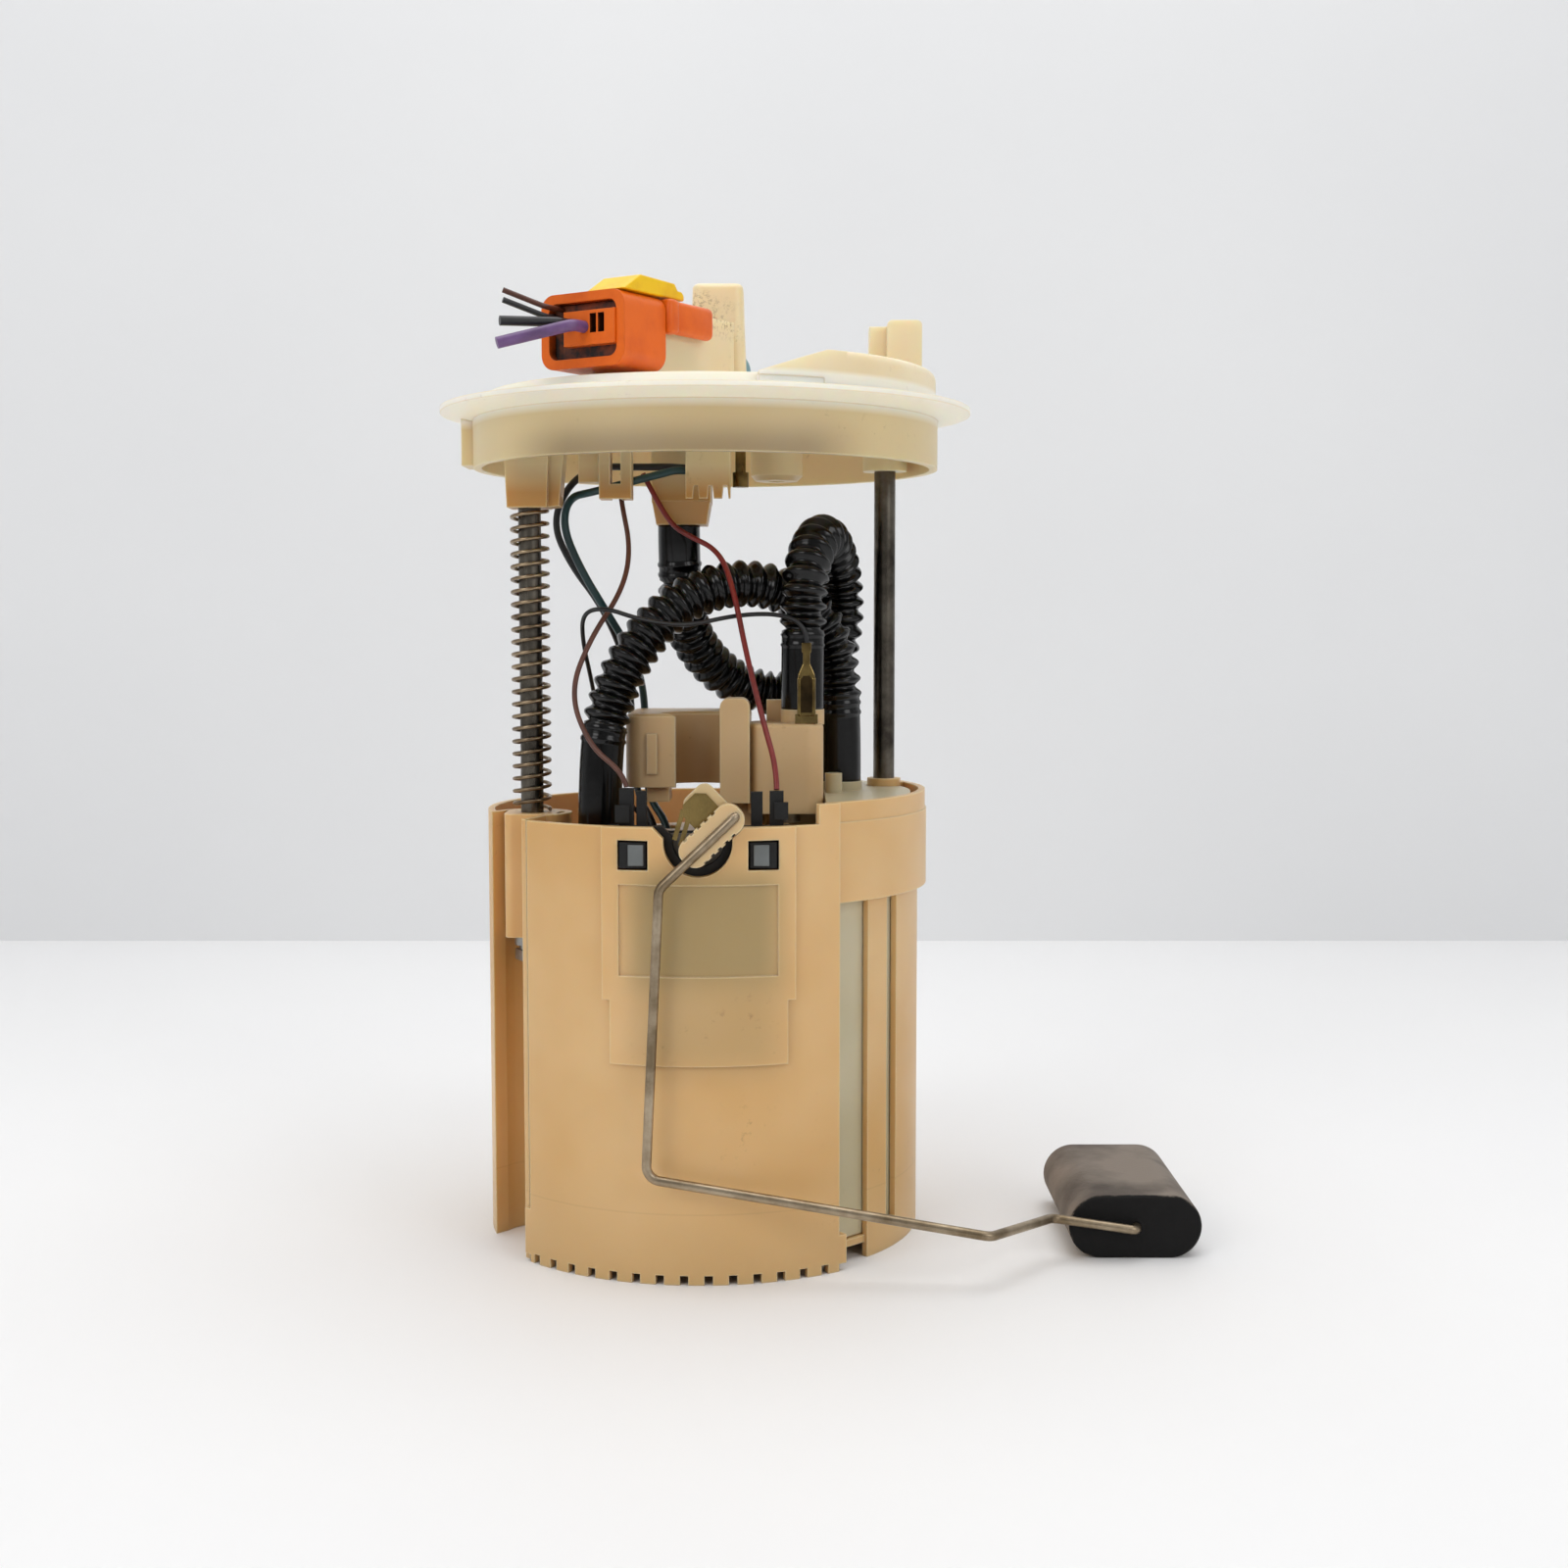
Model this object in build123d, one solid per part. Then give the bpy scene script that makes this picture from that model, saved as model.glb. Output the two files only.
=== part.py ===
from build123d import *
import math
import os

# A fuel pump module: a reservoir pot that stands on the tank floor, with the pump, the filter
# and the level sender in it, and a flange that closes the tank and slides on two guide rods.
# Millimetres. The origin is on the pot's axis at the surface it stands on, with +Z up and
# the level sender on the -Y side. Angles are in degrees about +Z from +X.

# Clearances
running = 0.05
loose = 0.3

# Pot walls
wall = 1.8
shell_radius = 64.0
side_step = 2.0
side_radius = shell_radius - side_step
lower_radius = side_radius - side_step
pot_height = 119.0
band_top = pot_height + 5.3
band_bottom = pot_height - 21.2
band_proud = 0.4
front_cut = shell_radius - 14.0
shell_start = -136.0
shell_end = -55.2
step_start = -61.0
wing_end = -158.2
band_step_end = 35.0
back_start = 60.0
window_end = -42.3
groove_start = -34.0
groove_end = -28.8
groove_low = 8.0
floor_low = 4.0
floor_thick = 2.0
centre_pad_radius = 9.0
foot_valve_centre = (-34.0, 22.0)
valve_radius = 8.5
valve_stem_radius = 1.6
valve_hole_radius = 1.8
valve_hole_count = 4

# Bottom edge of the front shell
notch_width = 2.2
notch_height = 2.5
notch_pitch = 5.72
notch_count = 14
notch_middle = -96.4

# Tabs at the two lower corners of the front shell: how far past the edge, and their height
tab_reach = 2.4
tab_thick = 2.6
tab_low = 2.0
left_tab_high = 14.5
right_tab_high = 9.7

# Sender panel on the front shell
panel_rise = 1.3
panel_half = 25.0
panel_low = pot_height - 44.8
lower_panel_half = 23.0
lower_panel_low = pot_height - 61.4
recess_low = pot_height - 38.3
recess_high = pot_height - 14.8
recess_half = 20.5
recess_depth = 0.6
window_inner = 12.8
window_outer = 20.6
window_low = pot_height - 11.0
window_high = pot_height - 3.4
pivot_z = pot_height - 5.1
cut_radius = 8.8
cut_z = pot_height - 3.8
cut_mouth_half = 12.8
cut_mouth_low = 1.0
cut_mouth_high = 5.0
cut_reach = 20.0

# Guide rods, their tubes in the pot and the spring
rod_radius = 3.1
left_rod = (16.5 - shell_radius, -20.0)
right_rod = (shell_radius - 12.7, 18.2)
boss_half = 7.1
boss_corner = 2.5
web_half = 1.0
tube_low = pot_height - 34.0
rod_low = tube_low - 8.5
left_tube_high = pot_height
right_tube_high = pot_height + 6.6
right_tube_radius = 4.9
channel_radius = 9.0
clip_radius = 5.2
clip_height = 6.6
clip_washer = 2.4
clip_nut = 2.9
spring_mean_radius = 4.9
spring_wire_radius = 0.6
spring_turns = 24

# Flange: the collar is a little wider than the pot, which goes through the same tank opening
plate_top = 233.8
plate_thick = 2.5
collar_radius = shell_radius + 1.0
collar_wall = 2.3
brim_width = 9.0
brim_radius = collar_radius + brim_width
brim_top = plate_top - 3.7
brim_edge_low = brim_top - 1.4
brim_root_low = brim_top - 3.2
collar_low = brim_root_low - 13.2
plate_radius = collar_radius - 4.0
dome_radius = collar_radius - 0.6
dome_chord = 32.0
dome_top = plate_top + 6.5
dome_round = 2.5
ramp_start = 15.5
nub_height = 23.8
key_rise = 3.0
key_half = 7.0
left_boss_low = plate_top - 31.8
right_boss_low = plate_top - 18.9
rod_high = plate_top - 8.3
block_low = plate_top - 35.6
block_x = (-14.8, 1.6)
block_y = (-11.0, 3.0)
block_step = 1.2
vent_centre = (19.8, 10.0)
vent_radius = 7.4
tower_top = plate_top + 31.2
tower_x = (-3.5, 10.5)
tower_y = (-6.0, 8.0)
outlet_radius = 3.95
outlet_length = 22.0
outlet_bead = 6.5
outlet_bead_rise = 0.7
outlet_bead_width = 1.6
ring_radius = 6.0
tower_taper = 1.0
outlet_x = 6.4
outlet_z = plate_top + 8.6

# Connector: the wire face's centre and the direction in which the plug is pushed home
plug_face = (-29.5, 22.0 - brim_radius, plate_top + 11.5)
plug_angle = 57.0
plug_length = 17.5
plug_half = 13.5
plug_half_height = 9.5
plug_corner = 4.0
plug_recess = 3.0
insert_across = (-5.6, 10.8)
insert_high = (-4.0, 4.7)
insert_end = 13.7
shroud_half = 10.8
shroud_top = plug_face[2] + plug_half_height - 2.0
shroud_end = 52.5
shroud_wall = 1.8
lock_height = 5.6
lock_end = 27.0
lock_left = 0.4
lock_right = 12.6
lever_low = 0.5
lever_high = plug_half_height - 0.5
lever_end = 38.0
lever_thick = 3.6
bridge_end = 24.0
nose_length = 10.0
nose_low = -6.0
pin_count = 5
pin_pitch = 3.4
pin_width = 1.5
pin_thick = 0.8

# Pump, its holder and the filter
pump_axis = (0.0, -4.0)
pump_radius = 19.0
can_wall = 1.4
holder_radius = pump_radius + 3.5
holder_wall = 1.7
pump_low = 16.0
pump_high = pump_low + 82.0
cap_high = pump_high + 5.0
holder_high = cap_high + 7.0
elbow_half = 3.0
shaft_radius = 2.0
armature_radius = 12.6
air_gap = 0.6
pole_count = 8
impeller_radius = pump_radius - can_wall - 2.1
impeller_thick = 3.7
vane_count = 24
on_floor = floor_low + floor_thick + loose
filter_radius = lower_radius - wall - loose
filter_wall = 2.0
filter_bore = holder_radius + 0.7
filter_low = on_floor
filter_high = pot_height + 2.0
lid_high = filter_high + 2.4
filter_start = -60.0
filter_end = 80.0
head_box_x = (12.0, 32.7)
head_box_y = (-27.0, -6.0)
head_box_z = (holder_high + 9.0, holder_high + 33.6)
cup_x = (-21.6, 12.5)
cup_y = (-24.0, 16.0)
cup_z = (holder_high + 16.0, holder_high + 36.2)
cup_mouth = (-1.6, -16.0)
regulator_centre = (22.4, -16.5)
regulator_radius = 8.0

# Level sender
sender_outer = shell_radius - wall - loose
sender_thick = 2.9
sender_face = sender_thick - sender_outer
sender_half = 24.0
sender_low = pot_height - 23.0
sender_plate_half = 14.0
hook_place = 16.7
hook_half = 3.4
wire_radius = 1.25
arm_y = -shell_radius - 5.0
arm_bend = 4.0
pin_radius = 2.0
hub_radius = 3.9
hub_front = -shell_radius - 3.6
hub_back = 1.4 - shell_radius
holder_turn = 43.5
wiper_y = (-shell_radius - 2.05, -shell_radius - 1.6)
bar_along = (-4.6, 14.8)
bar_half = 4.0
rib_first = -0.5
rib_pitch = 2.4
rib_count = 5
finger_turn = 30.0
float_centre = (116.7, 8.6)
float_half = 17.9
float_round = 8.6
float_front = -41.6
float_length = 54.0
retainer_radius = 3.2
retainer_thick = 1.2
float_hole = wire_radius + running

# Hoses and leads
hose_radius = 6.2
red_radius = 0.75
brown_radius = 0.7
teal_radius = 1.1
black_radius = 1.0
ground_radius = 0.6

# Level sender arm, from its hook in the holder to its end in the float
arm_route = [
    (10.1, -shell_radius - 1.2, pivot_z + 8.7), (10.1, arm_y, pivot_z + 8.7),
    (-9.7, arm_y, pivot_z - 10.1), (-13.3, arm_y, 29.6),
    (74.7, arm_y, 14.5), (93.7, -44.5, 12.0), (float_centre[0], -44.5, float_centre[1]),
    (float_centre[0], float_front + float_length + 2.5, float_centre[1]),
]
arm_bends = [1.8, arm_bend, arm_bend, arm_bend, arm_bend, 1.8]

# Routes of the hoses and leads, end to end
hose_a_route = [
    (27.0, -18.0, head_box_z[1] + 3.7), (27.0, -18.0, 167.0), (27.7, -17.6, 187.0), (33.0, -1.0, 197.8),
    (38.4, 15.6, 186.5), (39.0, 17.2, 168.0), (34.0, 21.5, 153.5), (19.5, 23.0, 149.0),
    (4.5, 19.0, 154.5), (-5.4, 8.0, 166.5), (-7.6, -4.0, 180.5), (-7.6, -4.0, block_low),
]
hose_b_route = [
    (-28.0, -30.0, holder_high), (-28.0, -30.0, 127.5), (-26.5, -28.5, 146.5), (-19.0, -25.0, 164.0),
    (-6.0, -18.0, 178.0), (10.0, -10.0, 183.0), (26.0, -3.0, 179.0), (36.3, 0.5, 166.0),
    (38.0, 2.0, 145.5), (38.0, 2.0, lid_high + 2.6),
]
red_route = [
    (-17.0, -13.2, 212.0), (-14.5, -13.2, 207.0), (-9.4, -13.4, 198.2), (-5.0, -14.2, 195.2),
    (4.5, -19.0, 190.5), (8.5, -27.0, 179.0), (12.0, -36.0, 162.0), (16.5, -47.0, 145.0),
    (20.0, -55.0, 133.5), (20.0, sender_face + 2.2, pot_height + 9.1),
]
brown_route = [
    (-23.2, -18.0, 209.5), (-22.6, -18.4, 204.0), (-19.8, -21.5, 191.0), (-21.5, -30.0, 179.5),
    (-29.5, -39.5, 166.5), (-34.2, -46.0, 152.5), (-28.5, -52.0, 139.0), (-19.5, -56.2, 132.5),
    (-18.6, sender_face + 2.1, pot_height + 9.8),
]
teal_route = [
    (4.6, -17.6, 210.6), (-5.0, -18.6, 213.2), (-13.0, -20.0, 211.0), (-21.0, -21.5, 208.8),
    (-30.0, -20.0, 206.5), (-37.4, -14.5, 205.5), (-39.6, -10.5, 197.5), (-35.0, -8.2, 186.0),
    (-28.0, -5.0, 174.0), (-22.5, 2.5, 164.0), (-19.6, 12.0, 155.5), (-18.9, 18.9, 145.0),
    (-19.5, 20.0, 131.5), (-17.5, 14.0, 119.5), (-11.4, 4.0, 113.0), (-11.4, 4.0, cap_high + 4),
]
black_route = [
    (4.6, -14.2, 212.2), (-6.0, -14.6, 213.8), (-18.0, -14.6, 213.6), (-30.0, -13.2, 214.0),
    (-38.5, -8.0, 209.0), (-43.2, -3.8, 198.5), (-38.0, -2.8, 187.0), (-30.8, -1.5, 177.5),
    (-26.0, 4.0, 167.0), (-23.8, 12.5, 157.5), (-23.0, 20.4, 147.0), (-23.2, 22.0, 133.0),
    (-21.0, 15.5, 120.0), (-15.0, 4.6, 112.6), (-15.0, 4.6, cap_high + 4),
]
ground_route = [
    (28.0, -25.9, head_box_z[1] + 22.0), (28.0, -25.9, 169.8), (21.5, -26.4, 173.4), (9.5, -27.0, 173.2),
    (-4.3, -31.5, 170.0), (-16.0, -36.0, 171.6), (-25.5, -39.0, 175.0), (-31.6, -37.0, 173.6),
    (-32.4, -29.0, 166.0), (-31.2, -18.0, 155.5), (-30.0, -8.0, 143.0), (-28.5, -1.0, 129.0),
    (-21.5, 2.4, 118.0), (-15.6, 1.6, 112.5), (-15.6, 1.6, cap_high + 4),
]

# Cut ends of the vehicle's leads: radius, place across and up on the wire face, and how far
# the free end is from the wire face's centre
cut_leads = {
    "lead_purple": (1.5, (0.9, 0.6), (-20.4, -10.0, -4.7)),
    "lead_black": (1.25, (-3.4, 1.6), (-19.9, -8.0, 1.1)),
    "lead_thin": (0.75, (-8.0, 3.4), (-19.6, -4.0, 6.9)),
    "lead_brown": (0.7, (-8.2, 5.9), (-19.9, -2.0, 9.7)),
}


def ring_plan(inner, outer, start, end):
    outer_arc = CenterArc((0, 0), outer, start, end - start)
    inner_arc = CenterArc((0, 0), inner, start, end - start)
    first_side = Line(outer_arc @ 0, inner_arc @ 0)
    last_side = Line(outer_arc @ 1, inner_arc @ 1)
    return make_face([outer_arc, inner_arc, first_side, last_side])


def pie_plan(outer, start, end):
    arc = CenterArc((0, 0), outer, start, end - start)
    return make_face([arc, Line((0, 0), arc @ 0), Line((0, 0), arc @ 1)])


def raise_plan(plan, low, high):
    return extrude(Pos(0, 0, low) * plan, amount=high - low, dir=(0, 0, 1))


def sector(inner, outer, start, end, low, high):
    return raise_plan(ring_plan(inner, outer, start, end), low, high)


def box(x, y, z):
    centre = Pos(sum(x) / 2, sum(y) / 2, sum(z) / 2)
    return centre * Box(x[1] - x[0], y[1] - y[0], z[1] - z[0])


def rod(centre, radius, low, high):
    return Pos(*centre, (low + high) / 2) * Cylinder(radius, high - low)


def tube(centre, outer, inner, low, high):
    return rod(centre, outer, low, high) - rod(centre, inner, low - 1, high + 1)


def at(radius, angle):
    return (radius * math.cos(math.radians(angle)), radius * math.sin(math.radians(angle)))


def half_angle(half_width, radius):
    return math.degrees(math.asin(half_width / radius))


def cut_plan(radius, mouth_half):
    """The sender's round notch with its mouth widening to the rim, in the XZ plane."""
    low, high, top = cut_mouth_low, cut_mouth_high, cut_reach
    mouth = Polygon((-radius, 0), (radius, 0), (radius, low), (mouth_half, high), (mouth_half, top),
                    (-mouth_half, top), (-mouth_half, high), (-radius, low), align=None)
    return Pos(0, 0, cut_z) * Rot(90, 0, 0) * (Circle(radius) + mouth)


def sender_cut(radius, mouth_half):
    front = extrude(cut_plan(radius, mouth_half), amount=shell_radius + cut_reach, both=True)
    deep = (-shell_radius - cut_reach, -front_cut)
    return front & box((-shell_radius, shell_radius), deep, (pot_height / 2, 2 * pot_height))


def channel_plan():
    """The open channel in the pot's left side that leaves room for the guide tube."""
    x, y = left_rod
    outward = math.atan2(y, x)
    side_x = channel_radius * math.sin(outward)
    side_y = -channel_radius * math.cos(outward)
    outside = shell_radius + 6
    mouth = Polygon(at(outside, wing_end), at(outside, shell_start), (x - side_x, y - side_y),
                    (x + side_x, y + side_y), align=None)
    return Pos(x, y) * Circle(channel_radius) + mouth


def reservoir_pot():
    inside = shell_radius - wall
    back_end = 360 + wing_end
    pot = sector(inside, shell_radius, shell_start, shell_end, 0, pot_height)
    pot += sector(inside, shell_radius, step_start, shell_end, pot_height - 1, band_top)
    pot += panel()
    pot += bottom()
    pot += corner_tab(shell_start, -1, left_tab_high)
    pot += corner_tab(shell_end, 1, right_tab_high)
    pot += side_band()
    inside = lower_radius - wall
    pot += sector(inside, lower_radius, window_end, back_start, 0, band_bottom + wall)
    pot += sector(inside, side_radius, back_start - 2, back_start + 1, 0, pot_height)
    inside = side_radius - wall
    pot += sector(inside, side_radius, back_start, back_end, 0, pot_height)
    pot += sector(inside, shell_radius, shell_end - 2, shell_end, 0, band_top)
    channel = channel_plan()
    walls = pie_plan(side_radius, 150, 240) + pie_plan(shell_radius - wall + 0.5, 205, 225)
    pot += raise_plan(offset(channel, amount=wall) & walls, 0, pot_height)
    pot -= raise_plan(channel, -1, pot_height + 1)
    inside = lower_radius - wall
    pot -= sector(inside - 0.2, lower_radius + 1, groove_start, groove_end, groove_low, band_bottom)
    pot += guide_tubes()
    return cut_openings(pot)


def side_band():
    """The wider band round the right side: it overhangs the wall below it on a ledge."""
    inside = side_radius - wall
    proud = side_radius + band_proud
    band = sector(inside, proud, shell_end, back_start, band_bottom, pot_height)
    band += sector(inside, side_radius, shell_end, band_step_end, pot_height - 10, band_top)
    ledge = (band_bottom, band_bottom + wall)
    return band + sector(lower_radius - wall, side_radius, shell_end, back_start, *ledge)


def corner_tab(angle, side, high):
    """A lug that carries on past the front shell's edge at its foot."""
    reach = side * math.degrees(tab_reach / shell_radius)
    first, last = sorted((angle - side, angle + reach))
    return sector(shell_radius - tab_thick, shell_radius, first, last, tab_low, high)


def panel():
    outer = shell_radius + panel_rise
    upper = half_angle(panel_half, outer)
    lower = half_angle(lower_panel_half, outer)
    middle = -90
    shape = sector(shell_radius - 0.5, outer, middle - upper, middle + upper, panel_low, pot_height)
    shape += sector(shell_radius - 0.5, outer, middle - lower, middle + lower, lower_panel_low, panel_low)
    inset = half_angle(recess_half, outer)
    depth = (outer - recess_depth, outer + 1)
    shape -= sector(*depth, middle - inset, middle + inset, recess_low, recess_high)
    return shape


def bottom():
    plan = Circle(lower_radius - 1) + pie_plan(shell_radius - 1, shell_start, shell_end)
    plan += pie_plan(side_radius - 1, back_start, 360 + wing_end)
    plan -= Pos(*foot_valve_centre) * Circle(valve_stem_radius + running)
    ring = Pos(*foot_valve_centre) * PolarLocations(valve_radius * 0.55, valve_hole_count)
    plan -= ring * Circle(valve_hole_radius)
    plate = raise_plan(plan, floor_low, floor_low + floor_thick)
    return plate + rod((0, 0), centre_pad_radius, 0, floor_low + 0.5)


def guide_tubes():
    x, y = left_rod
    boss = Pos(x, y) * RectangleRounded(2 * boss_half, 2 * boss_half, boss_corner)
    reach = math.hypot(x, y)
    tubes = raise_plan(boss, tube_low, left_tube_high)
    tubes += web(left_rod, (reach - channel_radius - 1, reach), web_half, (tube_low, left_tube_high))
    x, y = right_rod
    reach = math.hypot(x, y)
    tubes += rod(right_rod, right_tube_radius, tube_low, right_tube_high)
    tubes += web(right_rod, (reach, side_radius - wall + 1), web_half + 0.2, (tube_low, band_top))
    for centre in (left_rod, right_rod):
        tubes -= rod(centre, rod_radius + running, 0, plate_top)
    return tubes


def web(centre, along, half, height):
    """An upright wall on the line from the pot's axis through a guide rod."""
    turn = math.degrees(math.atan2(centre[1], centre[0]))
    return Rot(0, 0, turn) * box(along, (-half, half), height)


def cut_openings(pot):
    for side in (-1, 1):
        middle = side * (window_inner + window_outer) / 2
        half = (window_outer - window_inner) / 2
        deep = (-shell_radius - cut_reach, -front_cut)
        pot -= box((middle - half, middle + half), deep, (window_low, window_high))
    pot -= sender_cut(cut_radius, cut_mouth_half)
    first = notch_middle - notch_pitch * (notch_count - 1) / 2
    half = notch_width / 2
    notch = box((shell_radius - 3, shell_radius + 2), (-half, half), (-1, notch_height))
    for index in range(notch_count):
        pot -= Rot(0, 0, first + index * notch_pitch) * notch
    return pot


def guide_rod(centre):
    return chamfer(rod(centre, rod_radius, rod_low, rod_high).edges().sort_by(Axis.Z)[0], 0.6)


def rod_clip(centre):
    """Push-on retainer: it stops the flange from leaving the pot."""
    top = tube_low - loose
    nut = Pos(*centre, top - clip_height) * extrude(RegularPolygon(clip_radius, 6), amount=clip_nut)
    washer = rod(centre, clip_radius, top - clip_washer, top)
    neck = rod(centre, rod_radius + 0.9, top - clip_height, top)
    return nut + washer + neck - rod(centre, rod_radius, 0, plate_top)


def return_spring():
    """Each half turn is a tilted half ring, so the turns join smoothly at the sides."""
    low = left_tube_high + spring_wire_radius + 0.1
    high = left_boss_low - spring_wire_radius - 0.1
    rise = (high - low) / spring_turns / 2
    turns = []
    side = 1
    for index in range(2 * spring_turns):
        start = Vector(side * spring_mean_radius, 0, low + index * rise)
        end = Vector(-side * spring_mean_radius, 0, low + (index + 1) * rise)
        middle = (start + end) / 2
        spoke = (start - middle).normalized()
        along = Vector(0, side, 0)
        section = Plane(origin=start, x_dir=spoke, z_dir=along) * RegularPolygon(spring_wire_radius, 6)
        turns.append(revolve(section, Axis(middle, spoke.cross(along)), 180))
        side = -side
    return Pos(*left_rod, 0) * turns[0].fuse(*turns[1:])


def flange_profile():
    inside = collar_radius - collar_wall
    step = plate_radius - 1.7
    points = [
        (0, plate_top), (plate_radius, plate_top), (plate_radius + 0.8, brim_top),
        (brim_radius, brim_top), (brim_radius, brim_edge_low), (collar_radius, brim_root_low),
        (collar_radius, collar_low), (inside, collar_low), (inside, brim_root_low - 0.8),
        (step, brim_root_low + 1), (step, plate_top - plate_thick), (0, plate_top - plate_thick),
    ]
    return make_face(Plane.XZ * Polyline(*points, close=True))


def flange_cover():
    cover = revolve(flange_profile(), Axis.Z)
    cover += dome()
    cover += under_side()
    cover += tower()
    cover += shroud()
    for centre in (left_rod, right_rod):
        cover -= rod(centre, rod_radius, block_low, rod_high)
    return cover


def dome():
    """The raised part of the plate, with the ramp up to it and the two stops on it."""
    right = Pos(dome_chord + dome_radius, 0) * Rectangle(2 * dome_radius, 4 * dome_radius)
    plan = Circle(dome_radius) & right
    shape = raise_plan(plan, plate_top - plate_thick, dome_top)
    shape = fillet(shape.faces().sort_by(Axis.Z)[-1].edges(), dome_round)
    low = plate_top - 1
    high = dome_top - 0.4
    wedge = Polyline((ramp_start, low), (dome_chord + 6, low), (dome_chord + 6, high),
                     (dome_chord + 1, high), (ramp_start, plate_top), close=True)
    ramp = extrude(make_face(Plane.XZ * wedge), amount=dome_radius, both=True)
    shape += ramp & rod((0, 0), dome_radius, low, dome_top)
    edge = dome_radius
    nub = box((edge - 12.9, edge - 2.9), (12, 23), (plate_top, plate_top + nub_height))
    shape += fillet(nub.edges().filter_by(Axis.Y).group_by(Axis.Z)[-1], 1.5)
    return shape + box((edge - 17.8, edge - 12.4), (17, 26), (plate_top, plate_top + nub_height - 1.2))


def tapered_post(x, y, low, high, taper):
    foot = Pos(sum(x) / 2, sum(y) / 2, high) * Rectangle(x[1] - x[0] + 2 * taper, y[1] - y[0] + 2 * taper)
    tip = Pos(sum(x) / 2, sum(y) / 2, low) * Rectangle(x[1] - x[0], y[1] - y[0])
    return loft([tip, foot])


def under_side():
    """Rod bosses, hose block, lead guides and key, all moulded on under the plate."""
    root = plate_top - plate_thick + 0.5
    x, y = left_rod
    low = left_boss_low
    shape = tapered_post((x - 5.4, x + 5.4), (y - 6, y + 6), low, root, 1.2)
    gusset = Polyline((x + 5, low), (x + 8.5, low + 0.5), (x + 11.5, root), (x + 5, root), close=True)
    shape += Pos(0, y, 0) * extrude(make_face(Plane.XZ * gusset), amount=4.5, both=True)
    shape += rod(right_rod, 6.4, right_boss_low, root)
    shape += box((-27.6, -24.6), (-30, -23), (low + 2, root))
    shape += box((-21.8, -18.9), (-30, -23), (low + 2, root))
    shape += box((-25, -21), (-30, -29), (low + 2, low + 6))
    shape += box((-34, -28.5), (-21, -17), (low + 7, root))
    shape += comb()
    shape += box(block_x, block_y, (block_low + 6, root))
    foot_x = (block_x[0] + block_step, block_x[1] - block_step)
    foot_y = (block_y[0] + 1, block_y[1] - 1)
    shape += tapered_post(foot_x, foot_y, block_low, block_low + 6.5, block_step - 0.1)
    key = box((-collar_radius - key_rise, 5 - collar_radius), (-key_half, key_half),
              (collar_low + 1, brim_root_low + 1))
    return shape + (key - rod((0, 0), collar_radius - 1.5, low, brim_top))


def comb():
    """A row of teeth that the leads are threaded through."""
    root = plate_top - plate_thick + 0.5
    low = left_boss_low
    plate = box((-4.8, 7.4), (-23, -21), (low + 2.6, root))
    for index in range(3):
        left = 4 * index - 3.4
        slot = Polyline((left, low - 2), (left + 2.8, low - 2), (left + 1.9, low + 6),
                        (left + 0.9, low + 6), close=True)
        plate -= Pos(0, -22, 0) * extrude(make_face(Plane.XZ * slot), amount=3, both=True)
    return plate


def tower():
    """The outlet's upright housing, and its pipe with a bead for the hose."""
    shape = tapered_post(tower_x, tower_y, tower_top, plate_top - 1, tower_taper)
    upright = shape.edges().filter_by(lambda e: abs(e.center().Z - tower_top) > 2)
    shape = fillet(upright.sort_by(Axis.Z)[-4:], 2.5)
    shape = fillet(shape.faces().sort_by(Axis.Z)[-1].edges(), 1.5)
    start = tower_y[1]
    bead = start + outlet_bead
    shape += along_y(outlet_x, outlet_z, outlet_radius, start - 1, start + outlet_length)
    bead_radius = outlet_radius + outlet_bead_rise
    return shape + along_y(outlet_x, outlet_z, bead_radius, bead, bead + outlet_bead_width)


def plug_frame():
    turn = math.radians(plug_angle)
    across = (math.sin(turn), -math.cos(turn), 0)
    along = (math.cos(turn), math.sin(turn), 0)
    return Plane(origin=plug_face, x_dir=across, z_dir=along)


def rounded_bar(half_width, half_height, corner, start, end):
    """A bar along the plug's direction, from start to end behind the wire face."""
    section = RectangleRounded(2 * half_width, 2 * half_height, corner)
    return plug_frame() * extrude(Pos(0, 0, start) * section, amount=end - start)


def across_bar(across, high, along):
    """A block given by its ranges across the plug, above its middle and along its direction."""
    x, y, z = across, high, along
    return plug_frame() * box(x, (-y[1], -y[0]), z)


def shroud():
    middle = plug_face[2]
    high = (plate_top - 1 - middle, shroud_top - middle)
    shape = across_bar((-shroud_half, shroud_half), high, (plug_length + loose, shroud_end))
    inner = shroud_half - shroud_wall
    inner_high = (nose_low - loose, high[1] - shroud_wall)
    return shape - across_bar((-inner, inner), inner_high, (0, plug_length + nose_length + 6))


def plug_housing():
    shape = rounded_bar(plug_half, plug_half_height, plug_corner, 0, plug_length)
    shape -= rounded_bar(plug_half - 2.6, plug_half_height - 2.4, 2.4, -1, plug_recess)
    inner = shroud_half - shroud_wall - loose
    nose_high = (nose_low, shroud_top - plug_face[2] - shroud_wall - loose)
    shape += across_bar((-inner, inner), nose_high, (plug_length - 1, plug_length + nose_length))
    across = (insert_across[0] - loose, insert_across[1] + loose)
    high = (insert_high[0] - loose, insert_high[1] + loose)
    shape -= across_bar(across, high, (plug_recess - 1, insert_end + loose))
    half = pin_width / 2 + 0.2
    for place in pin_places():
        shape -= across_bar((place - half, place + half), (-0.7, 0.7), (plug_length - 3, 60))
    return shape


def pin_places():
    return [(index - (pin_count - 1) / 2) * pin_pitch for index in range(pin_count)]


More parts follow.
